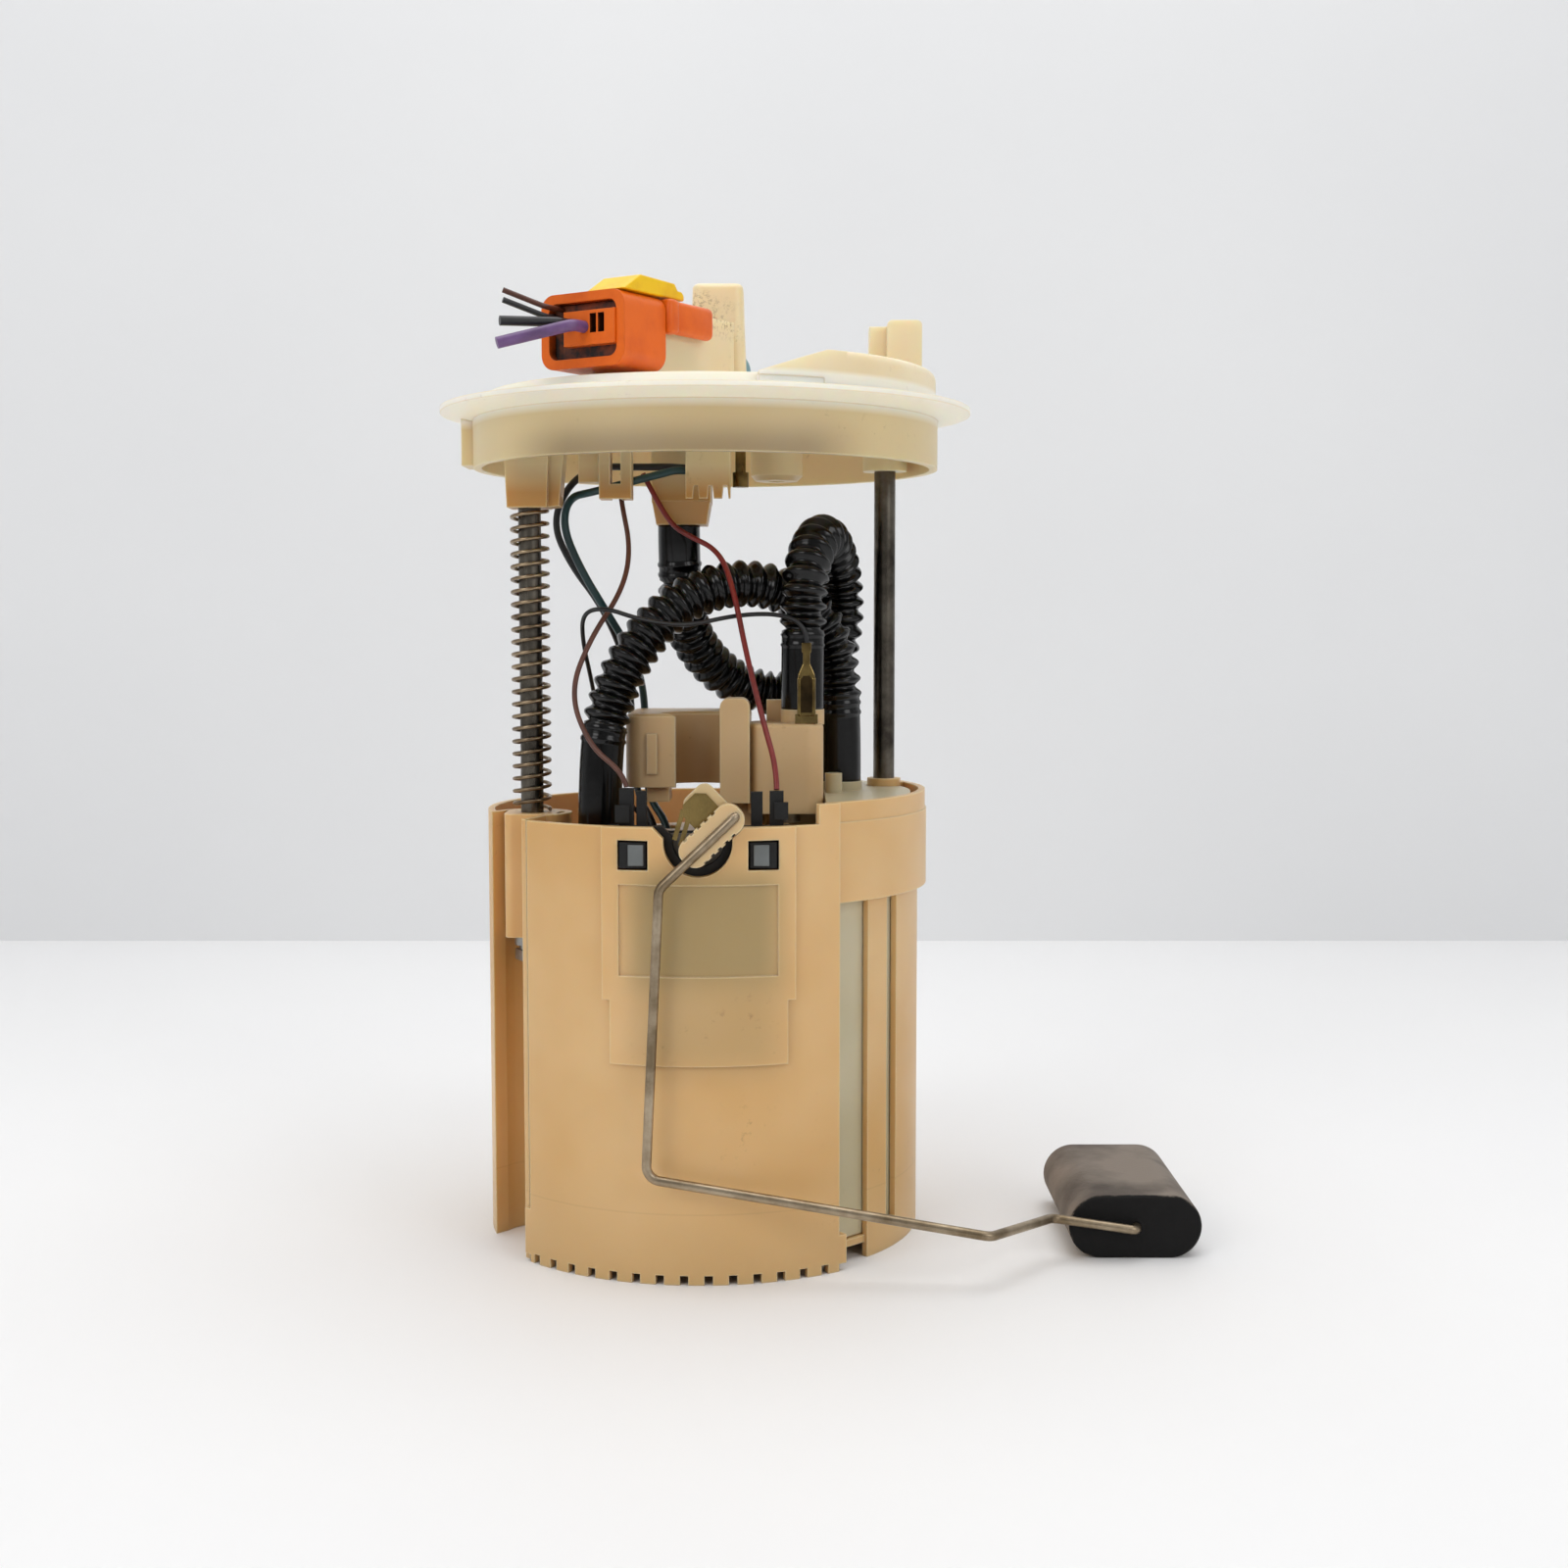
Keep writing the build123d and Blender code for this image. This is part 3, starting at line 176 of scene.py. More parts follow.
            heavy = add(tree, "ShaderNodeMath", {"operation": "MULTIPLY"}, {0: heavy, 1: mask})
        spots = add(tree, "ShaderNodeMath", {"operation": "MAXIMUM"}, {0: spots, 1: heavy})
    soil_and_shade = add(tree, "ShaderNodeMath", {"operation": "MAXIMUM"}, {0: corner, 1: spots})
    if line_at:
        # a faint line, 0.4 mm wide
        line = add(tree, "ShaderNodeMath", {"operation": "COMPARE", 1: line_at, 2: 0.2 * mm},
                   {0: height})
        line = add(tree, "ShaderNodeMath", {"operation": "MULTIPLY", 1: 0.10}, {0: line})
        soil_and_shade = add(tree, "ShaderNodeMath", {"operation": "MAXIMUM"}, {0: soil_and_shade, 1: line})
    # painted shade in the corners and grime specks, mixed in one dark tone
    tone = add(tree, "ShaderNodeMix", {"data_type": "RGBA", colour_b: linear(dirt_and_shade)},
               {0: soil_and_shade, colour_a: tone}, out=colour_out)

    gloss = add(tree, "ShaderNodeMapRange", {"To Min": 0.26, "To Max": 0.50}, {"Value": cloud})
    relief = add(tree, "ShaderNodeBump", {"Strength": 0.12, "Distance": 0.1 * mm},
                 {"Height": speck, "Normal": edge})
    shader = add(tree, "ShaderNodeBsdfPrincipled",
                 {"IOR": 1.48, "Subsurface Weight": glow, "Subsurface Radius": (1.0, 0.65, 0.35),
                  "Subsurface Scale": depth * mm},
                 {"Base Color": tone, "Roughness": gloss, "Normal": relief})
    add(tree, "ShaderNodeOutputMaterial", {}, {"Surface": shader})
    return material


def moulded(name, main, worn, rough, dirt_and_shade="#1B130D", dirt_and_shade_share=0.5, mottle=60.0,
            edge_radius=0.4, reach=2.5, dirt_and_shade_from=1.0, shine=0.5):
    """Injection moulded plastic: faint mottling, a fine grain, and painted shade with dark grime in
    the corners.

    mottle is the noise's scale, so 60 gives patches of about 15 mm. edge_radius rounds the
    look of edges and reach is how far the painted shade and grime come out of a corner, both in
    millimetres. A higher dirt_and_shade_from brings them to shallower corners. shine is the
    specular level."""
    material, tree = fresh(name)
    place = add(tree, "ShaderNodeTexCoord", out="Object")
    patch = add(tree, "ShaderNodeTexNoise", {"Scale": mottle, "Detail": 4.0, "Roughness": 0.6},
                {"Vector": place})
    rubbed = add(tree, "ShaderNodeMapRange", {"From Min": 0.42, "From Max": 0.70}, {"Value": patch})
    tone = add(tree, "ShaderNodeMix",
               {"data_type": "RGBA", colour_a: linear(main), colour_b: linear(worn)},
               {0: rubbed}, out=colour_out)
    # painted shade and grime in the corners
    hollow = add(tree, "ShaderNodeAmbientOcclusion",
                 {"samples": 4, "only_local": True, "Distance": reach * mm}, out="AO")
    ragged = add(tree, "ShaderNodeMath", {"operation": "MULTIPLY_ADD", 1: 0.5},
                 {0: patch, 2: hollow})
    corner = add(tree, "ShaderNodeMapRange",
                 {"From Min": dirt_and_shade_from, "From Max": dirt_and_shade_from - 0.4, "To Max": dirt_and_shade_share},
                 {"Value": ragged})
    tone = add(tree, "ShaderNodeMix", {"data_type": "RGBA", colour_b: linear(dirt_and_shade)},
               {0: corner, colour_a: tone}, out=colour_out)
    grain = add(tree, "ShaderNodeTexNoise", {"Scale": 900.0, "Detail": 2.0}, {"Vector": place})
    gloss = add(tree, "ShaderNodeMapRange", {"To Min": rough - 0.08, "To Max": rough + 0.14},
                {"Value": grain})
    edge = add(tree, "ShaderNodeBevel", {"samples": 4, "Radius": edge_radius * mm})
    relief = add(tree, "ShaderNodeBump", {"Strength": 0.10, "Distance": 0.1 * mm},
                 {"Height": grain, "Normal": edge})
    shader = add(tree, "ShaderNodeBsdfPrincipled", {"IOR": 1.52, "Specular IOR Level": shine},
                 {"Base Color": tone, "Roughness": gloss, "Normal": relief})
    add(tree, "ShaderNodeOutputMaterial", {}, {"Surface": shader})
    return material


def sheathing(name, main, worn, rough, shine=0.5):
    """Smooth flexible sheet, tube or sheath, with dull rubbed patches of about 10 mm."""
    material, tree = fresh(name)
    place = add(tree, "ShaderNodeTexCoord", out="Object")
    patch = add(tree, "ShaderNodeTexNoise", {"Scale": 90.0, "Detail": 4.0, "Roughness": 0.65},
                {"Vector": place})
    rubbed = add(tree, "ShaderNodeMapRange", {"From Min": 0.45, "From Max": 0.72}, {"Value": patch})
    tone = add(tree, "ShaderNodeMix",
               {"data_type": "RGBA", colour_a: linear(main), colour_b: linear(worn)},
               {0: rubbed}, out=colour_out)
    gloss = add(tree, "ShaderNodeMapRange", {"To Min": rough - 0.07, "To Max": rough + 0.16},
                {"Value": patch})
    grain = add(tree, "ShaderNodeTexNoise", {"Scale": 600.0, "Detail": 2.0}, {"Vector": place})
    relief = add(tree, "ShaderNodeBump", {"Strength": 0.08, "Distance": 0.1 * mm},
                 {"Height": grain})
    shader = add(tree, "ShaderNodeBsdfPrincipled", {"IOR": 1.52, "Specular IOR Level": shine},
                 {"Base Color": tone, "Roughness": gloss, "Normal": relief})
    add(tree, "ShaderNodeOutputMaterial", {}, {"Surface": shader})
    return material


def metal(name, main, dull, rough, stretch, scale=300.0):
    """Drawn, ground or stamped metal: fine streaks and dull tarnish in patches of about 15 mm.

    stretch scales the streaks' noise in X, Y and Z, and a small value draws them out there."""
    material, tree = fresh(name)
    place = add(tree, "ShaderNodeTexCoord", out="Object")
    turned = add(tree, "ShaderNodeMapping", {"Scale": stretch}, {"Vector": place})
    streak = add(tree, "ShaderNodeTexNoise", {"Scale": scale, "Detail": 3.0}, {"Vector": turned})
    patch = add(tree, "ShaderNodeTexNoise", {"Scale": 60.0, "Detail": 5.0, "Roughness": 0.65},
                {"Vector": place})
    tarnish = add(tree, "ShaderNodeMapRange", {"From Min": 0.38, "From Max": 0.62},
                  {"Value": patch})
    tone = add(tree, "ShaderNodeMix",
               {"data_type": "RGBA", colour_a: linear(main), colour_b: linear(dull)},
               {0: tarnish}, out=colour_out)
    gloss = add(tree, "ShaderNodeMapRange", {"To Min": rough - 0.07, "To Max": rough + 0.18},
                {"Value": streak})
    relief = add(tree, "ShaderNodeBump", {"Strength": 0.06, "Distance": 0.05 * mm},
                 {"Height": streak})
    shader = add(tree, "ShaderNodeBsdfPrincipled", {"Metallic": 1.0},
                 {"Base Color": tone, "Roughness": gloss, "Normal": relief})
    add(tree, "ShaderNodeOutputMaterial", {}, {"Surface": shader})
    return material


def foam(name, side, end, front_y, back_y):
    """Closed cell nitrile foam: brown grey skin on its sides, black and pitted where it is cut."""
    material, tree = fresh(name)
    place = add(tree, "ShaderNodeTexCoord", out="Object")
    along = add(tree, "ShaderNodeSeparateXYZ", {}, {0: place}, out="Y")
    patch = add(tree, "ShaderNodeTexNoise", {"Scale": 140.0, "Detail": 5.0, "Roughness": 0.7},
                {"Vector": place})
    ragged = add(tree, "ShaderNodeMath", {"operation": "MULTIPLY_ADD", 1: 2.2 * mm, 2: -1.1 * mm},
                 {0: patch})
    shifted = add(tree, "ShaderNodeMath", {"operation": "ADD"}, {0: along, 1: ragged})
    front = add(tree, "ShaderNodeMapRange",
                {"From Min": front_y + 0.9 * mm, "From Max": front_y + 0.4 * mm},
                {"Value": shifted})
    back = add(tree, "ShaderNodeMapRange",
               {"From Min": back_y - 0.9 * mm, "From Max": back_y - 0.4 * mm}, {"Value": shifted})
    cut = add(tree, "ShaderNodeMath", {"operation": "MAXIMUM"}, {0: front, 1: back})
    cloud = add(tree, "ShaderNodeTexNoise", {"Scale": 45.0, "Detail": 4.0}, {"Vector": place})
    shade = add(tree, "ShaderNodeMapRange", {"From Min": 0.40, "From Max": 0.66}, {"Value": cloud})
    skin = add(tree, "ShaderNodeMix",
               {"data_type": "RGBA", colour_a: linear(side), colour_b: linear("#4E463F")},
               {0: shade}, out=colour_out)
    tone = add(tree, "ShaderNodeMix", {"data_type": "RGBA", colour_b: linear(end)},
               {0: cut, colour_a: skin}, out=colour_out)
    cells = add(tree, "ShaderNodeTexVoronoi", {"Scale": 900.0}, {"Vector": place})
    edge = add(tree, "ShaderNodeBevel", {"samples": 4, "Radius": 0.8 * mm})
    relief = add(tree, "ShaderNodeBump", {"Strength": 0.35, "Distance": 0.2 * mm},
                 {"Height": cells, "Normal": edge})
    shader = add(tree, "ShaderNodeBsdfPrincipled", {"Roughness": 0.74, "Specular IOR Level": 0.3},
                 {"Base Color": tone, "Normal": relief})
    add(tree, "ShaderNodeOutputMaterial", {}, {"Surface": shader})
    return material


# Cream acetal of the pot, which fuel has deepened to a straw colour, a little darker towards the
# bottom. Painted shade darkens its front where the black sender is behind it
pot_acetal = acetal("acetal_straw", "#E3BC86", "#D6A96B", "#7A5630", 0.45, 0.35,
                    tone_by_height=[(0.0, 0.030, "#CFAA74")], line_at=18.6 * mm,
                    painted_shades=[(2, 19, 78, 108, 6, "#9C895C", 0.8),
                            (3, 18, 56, 80, 7, "#AC9365", 0.5)])
# The same acetal inside the pot, where it has browned more
inner_acetal = acetal("acetal_browned", "#DDBF92", "#CCA878", "#5E4426", 0.45, 0.35, depth=6.0)
# The flange is nearly white on top, and by height it has painted light and shade: whitest at
# the brim, which light through it brightens, cream on the collar in shade, and brown at the
# bosses in shade under it, which fuel has also browned. Painted shade darkens the collar's
# front where the pieces inside it are
flange_acetal = acetal("acetal_ivory", "#F0E4C6", "#E2CDA2", "#6B4B2C", 0.5, 0.5, depth=7.0,
                       tone_by_height=[(0.2338, 0.2350, "#F9F3E4"), (0.2245, 0.2266, "#DDC99C"),
                                       (0.206, 0.2135, "#BC8C4C")],
                       painted_shades=[(-3, 40, 208, 218, 11, "#64533C", 0.95)], specks_on=(247, -4.5, 12))
# Natural nylon of the filter, greyish and translucent
natural_nylon = acetal("nylon_natural", "#CFC5A8", "#BBAF8C", "#4E4536", 0.4, 0.30)
# Dull black nylon of the sender and the small inner pieces
black_nylon = moulded("nylon_black", "#0D0D0D", "#171616", 0.5, shine=0.35)
# Grey nylon of the hooks' ends, paler where they rub in their windows
hook_nylon = moulded("nylon_grey", "#6E7272", "#5C605F", 0.42, dirt_and_shade_share=0.3)
# Glossy black polyamide of the corrugated tubes: hard, bright lines on each rib
hose_nylon = sheathing("polyamide_tube_black", "#020202", "#070707", 0.15, shine=0.35)
# PBT of the plug: strong orange, semi gloss, with black grease and painted shade in its corners
plug_orange = moulded("pbt_orange", "#E9690C", "#D95A08", 0.34, "#1C0E08", 0.95, 90.0,
                      reach=6.0, dirt_and_shade_from=1.12, shine=0.4)
# Fuel grease that holds dirt round the leads, with the orange showing through it
grease = moulded("grease_dirty", "#17100B", "#8A3F12", 0.45, "#120C08", 0.6, 260.0, shine=0.5)
# PBT of the plug's lock: bright yellow, a little deeper where it is rubbed
lock_yellow = moulded("pbt_yellow", "#FACB04", "#E9B203", 0.34, "#4A3608", 0.6, 90.0, shine=0.4)
# Pale blue polyamide of the ring on the outlet pipe
ring_blue = moulded("polyamide_light_blue", "#9CC4D8", "#88AFC4", 0.38, dirt_and_shade_share=0.2)
# Card of the sender, printed and fired, and ferrite magnets: both matt and grey
ceramic_card = moulded("printed_ceramic", "#6E675C", "#57514A", 0.45, dirt_and_shade_share=0.2)
ferrite = moulded("ferrite_grey", "#3A3938", "#2C2B2A", 0.6, dirt_and_shade_share=0.2)

# Ground steel of the guide rods: dark and tarnished, streaked along the rod
along_z = (1.0, 1.0, 0.04)
even = (1.0, 1.0, 1.0)
pressed = (1.0, 1.0, 0.1)
rod_steel = metal("steel_ground", "#716B61", "#423D37", 0.24, along_z)
# Drawn spring wire, with a bronze cast, and the float arm's paler wire
spring_steel = metal("steel_spring_wire", "#A08D73", "#5E4E3D", 0.26, even)
arm_steel = metal("steel_arm_wire", "#B3A38C", "#7C6C55", 0.32, even)
# Zinc plated steel: pale and clean
plated_steel = metal("steel_zinc_plated", "#B5B4B0", "#8F8E8A", 0.34, pressed)
# Stamped brass that fuel has browned, and a darker copy of it that paints the shade inside
# the receptacle
brass = metal("brass_stamped", "#96804F", "#4C3F28", 0.22, pressed)
brass_shaded_copy = metal("brass_painted_shade", "#4A3C26", "#241D14", 0.35, pressed)
# Lacquered copper wire of the armature
copper = metal("copper_winding", "#B36A3F", "#8A4B2B", 0.35, even)

# PVC insulation of the leads: satin, with duller rubbed places
wire_red = sheathing("pvc_dark_red", "#7E1C16", "#5E1510", 0.34)
wire_brown = sheathing("pvc_brown", "#5A3020", "#47261A", 0.36)
wire_teal = sheathing("pvc_teal", "#123A3C", "#0E2E30", 0.32)
wire_black = sheathing("pvc_black", "#101012", "#1A1A1C", 0.34)
wire_purple = sheathing("pvc_purple", "#6E4E80", "#573B66", 0.36)
# Resin bonded filter paper and the strainer's nylon cloth: matt and pale
filter_paper = sheathing("filter_paper", "#D8C79B", "#C6B385", 0.85)
strainer_mesh = sheathing("nylon_mesh", "#D9D5CA", "#C9C4B5", 0.7)
# Nitrile foam of the float, from its front face to its back one along Y
float_front, float_back = -41.6 * mm, 12.4 * mm
float_foam = foam("nitrile_foam", "#80766C", "#060505", float_front, float_back)

# What each node is made of. Nodes that a piece below replaces aren't in it
finishes = {
    "reservoir_pot": pot_acetal, "foot_valve": black_nylon, "suction_strainer": strainer_mesh,
    "pump_holder": inner_acetal, "pump_sleeve": black_nylon, "pump_can": plated_steel,
    "pump_inlet_cover": black_nylon, "pump_end_cap": black_nylon, "pump_magnets": ferrite,
    "pump_armature": copper, "pump_impeller": black_nylon, "outlet_elbow": inner_acetal,
    "pump_head": inner_acetal, "pressure_regulator": plated_steel, "filter_canister": natural_nylon,
    "filter_element": filter_paper, "filter_lid": natural_nylon, "jet_pump_body": inner_acetal,
    "jet_nozzle": black_nylon, "sender_body": black_nylon, "sender_hooks": black_nylon,
    "resistor_card": ceramic_card, "guide_rod_left": rod_steel, "guide_rod_right": rod_steel,
    "rod_clip": plated_steel, "flange_cover": flange_acetal, "vent_valve": flange_acetal,
    "ground_tab": brass, "outlet_ring": ring_blue, "connector_pins": brass,
    "plug_housing": plug_orange, "plug_insert": plug_orange, "arm_holder": inner_acetal,
    "wiper_plate": brass, "float_arm": arm_steel,
    "level_float": float_foam, "float_retainer": black_nylon, "lead_purple": wire_purple,
    "lead_black": wire_black, "lead_thin": wire_black, "lead_brown": wire_brown,
}
for name, finish in finishes.items():
    nodes[name].data.materials.clear()
    nodes[name].data.materials.append(finish)


# ---------------------------------------------------------------- making pieces

def put(name, mesh, finish, smooth=True):
    """Adds a mesh to the scene as a piece of the part, with its finish."""
    piece = bpy.data.objects.new(name, mesh)
    bpy.context.scene.collection.objects.link(piece)
    mesh.materials.clear()
    mesh.materials.append(finish)
    for face in mesh.polygons:
        face.use_smooth = smooth
    return piece


def route_curve(points, radius=0.0):
    """A smooth line that control points in millimetres draw, as a mesh: the bare line, or a
    round wire round it where it has a radius, in metres."""
    curve = bpy.data.curves.new("route", "CURVE")
    curve.dimensions = "3D"
    spline = curve.splines.new("NURBS")
    spline.points.add(len(points) - 1)
    for point, place in zip(spline.points, points):
        point.co = (place[0] * mm, place[1] * mm, place[2] * mm, 1.0)
    spline.order_u = 3
    spline.use_endpoint_u = True
    spline.resolution_u = 12
    curve.bevel_depth = radius
    curve.bevel_resolution = 3
    curve.use_fill_caps = True
    holder = bpy.data.objects.new("route", curve)
    bpy.context.scene.collection.objects.link(holder)
    bpy.context.view_layer.update()
    drawn = holder.evaluated_get(bpy.context.evaluated_depsgraph_get())
    mesh = bpy.data.meshes.new_from_object(drawn)
    bpy.data.objects.remove(holder)
    return mesh


def route_line(points):
    """The points of that smooth line, in metres."""
    return [v.co.copy() for v in route_curve(points).vertices]


def even_stations(line, step):
    """Points at even distances along a line, each with its distance, and the line's length."""
    lengths = [0.0]
    for a, b in zip(line, line[1:]):
        lengths.append(lengths[-1] + (b - a).length)
    count = max(2, round(lengths[-1] / step))
    stations = []
    index = 0
    for number in range(count + 1):
        distance = lengths[-1] * number / count
        while index < len(line) - 2 and lengths[index + 1] < distance:
            index += 1
        share = (distance - lengths[index]) / max(1e-9, lengths[index + 1] - lengths[index])
        stations.append((distance, line[index].lerp(line[index + 1], share)))
    return stations, lengths[-1]


def tube_along(line, step, radius_at, sides):
    """A closed tube of round sections, whose radius radius_at gives from the distance along the
    line and the line's length."""
    stations, total = even_stations(line, step)
    shape = bmesh.new()
    side = Vector((1, 0, 0))
    before = None
    for number, (distance, place) in enumerate(stations):
        ahead = stations[min(number + 1, len(stations) - 1)][1]
        behind = stations[max(number - 1, 0)][1]
        along = (ahead - behind).normalized()
        side = (side - along * side.dot(along)).normalized()
        turn = Matrix((side, along.cross(side), along)).transposed().to_4x4()
        ring = bmesh.ops.create_circle(shape, cap_ends=number in (0, len(stations) - 1),
                                       segments=sides, radius=radius_at(distance, total),
                                       matrix=Matrix.Translation(place) @ turn)
        rim = set(ring["verts"])
        edges = list({e for v in rim for e in v.link_edges if rim.issuperset(e.verts)})
        if before:
            bmesh.ops.bridge_loops(shape, edges=before + edges)
        before = edges
    bmesh.ops.recalc_face_normals(shape, faces=shape.faces)
    mesh = bpy.data.meshes.new("tube")
    shape.to_mesh(mesh)
    shape.free()
    return mesh


# ---------------------------------------------------------------- camera

# Before the sender and a little to the right, at two thirds of the height, looking slightly down
camera_pitch = 4.49
camera = bpy.data.objects.new("camera", bpy.data.cameras.new("camera"))
bpy.context.scene.collection.objects.link(camera)
camera.location = (0.0219, -0.564, 0.1694)
camera.rotation_euler = (math.radians(90 - camera_pitch), 0, 0)
camera.data.lens = 45.45
camera.data.sensor_width = 36.0
bpy.context.scene.camera = camera

# ---------------------------------------------------------------- leads and hoses

# Control points of each route, in millimetres
hose_outlet_route = [
    (27.0, -18.0, 147.3), (27.0, -18.0, 167.0), (27.7, -17.6, 187.0), (33.0, -1.0, 197.8),
    (38.4, 15.6, 186.5), (39.0, 17.2, 168.0), (34.0, 21.5, 153.5), (19.5, 23.0, 149.0),
    (4.5, 19.0, 154.5), (-5.4, 8.0, 166.5), (-7.6, -4.0, 180.5), (-7.6, -4.0, 198.2),
]
hose_filter_route = [
    (-28.0, -30.0, 110.0), (-28.0, -30.0, 127.5), (-26.5, -28.5, 146.5), (-19.0, -25.0, 164.0),
    (-6.0, -18.0, 178.0), (10.0, -10.0, 183.0), (26.0, -3.0, 179.0), (36.3, 0.5, 166.0),
    (38.0, 2.0, 145.5), (38.0, 2.0, 126.0),
]
lead_routes = {
    "wire_red": [
        (-17.0, -13.2, 212.0), (-14.5, -13.2, 207.0), (-9.4, -13.4, 198.2), (-5.0, -14.2, 195.2),
        (4.5, -19.0, 190.5), (8.5, -27.0, 179.0), (12.0, -36.0, 162.0), (16.5, -47.0, 145.0),
        (20.0, -55.0, 133.5), (20.0, -56.8, 128.1),
    ],
    "wire_brown": [
        (-23.2, -18.0, 209.5), (-22.6, -18.4, 204.0), (-19.8, -21.5, 191.0), (-21.5, -30.0, 179.5),
        (-29.5, -39.5, 166.5), (-34.2, -46.0, 152.5), (-28.5, -52.0, 139.0), (-19.5, -56.2, 132.5),
        (-18.6, -56.9, 128.8),
    ],
    "wire_teal": [
        (4.6, -17.6, 210.6), (-5.0, -18.6, 213.2), (-13.0, -20.0, 211.0), (-21.0, -21.5, 208.8),
        (-30.0, -20.0, 206.5), (-37.4, -14.5, 205.5), (-39.6, -10.5, 197.5), (-35.0, -8.2, 186.0),
        (-28.0, -5.0, 174.0), (-22.5, 2.5, 164.0), (-19.6, 12.0, 155.5), (-18.9, 18.9, 145.0),
        (-19.5, 20.0, 131.5), (-17.5, 14.0, 119.5), (-11.4, 4.0, 113.0), (-11.4, 4.0, 107.0),
    ],
    "wire_black": [
        (4.6, -14.2, 212.2), (-6.0, -14.6, 213.8), (-18.0, -14.6, 213.6), (-30.0, -13.2, 214.0),
        (-38.5, -8.0, 209.0), (-43.2, -3.8, 198.5), (-38.0, -2.8, 187.0), (-30.8, -1.5, 177.5),
        (-26.0, 4.0, 167.0), (-23.8, 12.5, 157.5), (-23.0, 20.4, 147.0), (-23.2, 22.0, 133.0),
        (-21.0, 15.5, 120.0), (-15.0, 4.6, 112.6), (-15.0, 4.6, 107.0),
    ],
    "wire_ground": [
        (28.0, -25.9, 165.6), (28.0, -25.9, 169.8), (21.5, -26.4, 173.4), (9.5, -27.0, 173.2),
        (-4.3, -31.5, 170.0), (-16.0, -36.0, 171.6), (-25.5, -39.0, 175.0), (-31.6, -37.0, 173.6),
        (-32.4, -29.0, 166.0), (-31.2, -18.0, 155.5), (-30.0, -8.0, 143.0), (-28.5, -1.0, 129.0),
        (-21.5, 2.4, 118.0), (-15.6, 1.6, 112.5), (-15.6, 1.6, 107.0),
    ],
}
# Radius in millimetres, finish, slot, and the height in metres of the lower end. The ground lead
# has both ends on the reservoir
lead_looks = {
    "wire_red": (0.75, wire_red, "red_wire", 0.128),
    "wire_brown": (0.70, wire_brown, "brown_wire", 0.1288),
    "wire_teal": (1.10, wire_teal, "teal_wire", 0.107),
    "wire_black": (1.00, wire_black, "black_wire", 0.107),
    "wire_ground": (0.60, wire_black, "black_wire", None),
}

for name, route in lead_routes.items():
    radius, finish, slot, low = lead_looks[name]
    line = route_line(route)
    piece = put(name + "_insulated", route_curve(route, radius * mm), finish)
    if low:
        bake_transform(piece)
    else:
        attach(piece, "reservoir")
    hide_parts(name)

# Measures of both corrugated tubes, in millimetres
rib_radius = 6.6
valley_radius = 4.75
rib_pitch = 4.1
cuff_radius = 5.9
cuff_rings = (1.6, 4.4)  # from the first or last rib
ring_half_width = 0.5
ring_rise = 0.35
section_step = 0.55
section_sides = 28


def ribbed(first_cuff, last_cuff):
    """Gives back the radius_at of a corrugated tube. Its two ends are smooth cuffs, as long as
    said in millimetres, with two thin rings each."""
    def radius_at(distance, total):
        along = distance / mm
        left = total / mm - along
        if along < first_cuff or left < last_cuff:
            from_ribs = min(abs(along - first_cuff), abs(left - last_cuff))
            ring = any(abs(from_ribs - place) < ring_half_width for place in cuff_rings)
            return (cuff_radius + (ring_rise if ring else 0.0)) * mm
        wave = 0.5 - 0.5 * math.cos(2 * math.pi * (along - first_cuff) / rib_pitch)
        return (valley_radius + (rib_radius - valley_radius) * wave ** 0.8) * mm
    return radius_at


# Route, lengths of the first and last cuff in millimetres, and two places in metres on the hose
hoses = {
    "hose_outlet": (hose_outlet_route, 22.0, 15.0, (0.0270, 0.005, 0.1440),
                    (-0.0076, -0.004, 0.1982)),
    "hose_filter": (hose_filter_route, 34.0, 24.0, (0, 0, 0.105), (0, 0, 0.215)),
}
for name, (route, first_cuff, last_cuff, start, end) in hoses.items():
    line = route_line(route)
    mesh = tube_along(line, section_step * mm, ribbed(first_cuff, last_cuff), section_sides)
    piece = put(name + "_corrugated", mesh, hose_nylon)
    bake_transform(piece)
    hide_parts(name)


# ---------------------------------------------------------------- small metal and hook pieces

def plate_from(outline, thickness, edge):
    """A flat stamping in millimetres: its outline in XZ, made thick along +Y, its edges rounded."""
    shape = bmesh.new()
    face = shape.faces.new([shape.verts.new((x * mm, 0, z * mm)) for x, z in outline])
    grown = bmesh.ops.extrude_face_region(shape, geom=[face])
    moved = [v for v in grown["geom"] if isinstance(v, bmesh.types.BMVert)]
    bmesh.ops.translate(shape, verts=moved, vec=(0, thickness * mm, 0))
    bmesh.ops.bevel(shape, geom=shape.edges[:], offset=edge * mm, segments=2, profile=0.5,
                    affect="EDGES", material=-1)
    bmesh.ops.recalc_face_normals(shape, faces=shape.faces)
    return shape


def join(name, shapes, finish, smooth=False):
    """One piece from several bmeshes, each with its place in millimetres."""
    whole = bmesh.new()
    for shape, place in shapes:
        mesh = bpy.data.meshes.new(name)
        bmesh.ops.translate(shape, verts=shape.verts, vec=Vector(place) * mm)
        shape.to_mesh(mesh)
        shape.free()
        whole.from_mesh(mesh)
        bpy.data.meshes.remove(mesh)
    mesh = bpy.data.meshes.new(name)
    whole.to_mesh(mesh)
    whole.free()
    return put(name, mesh, finish, smooth)


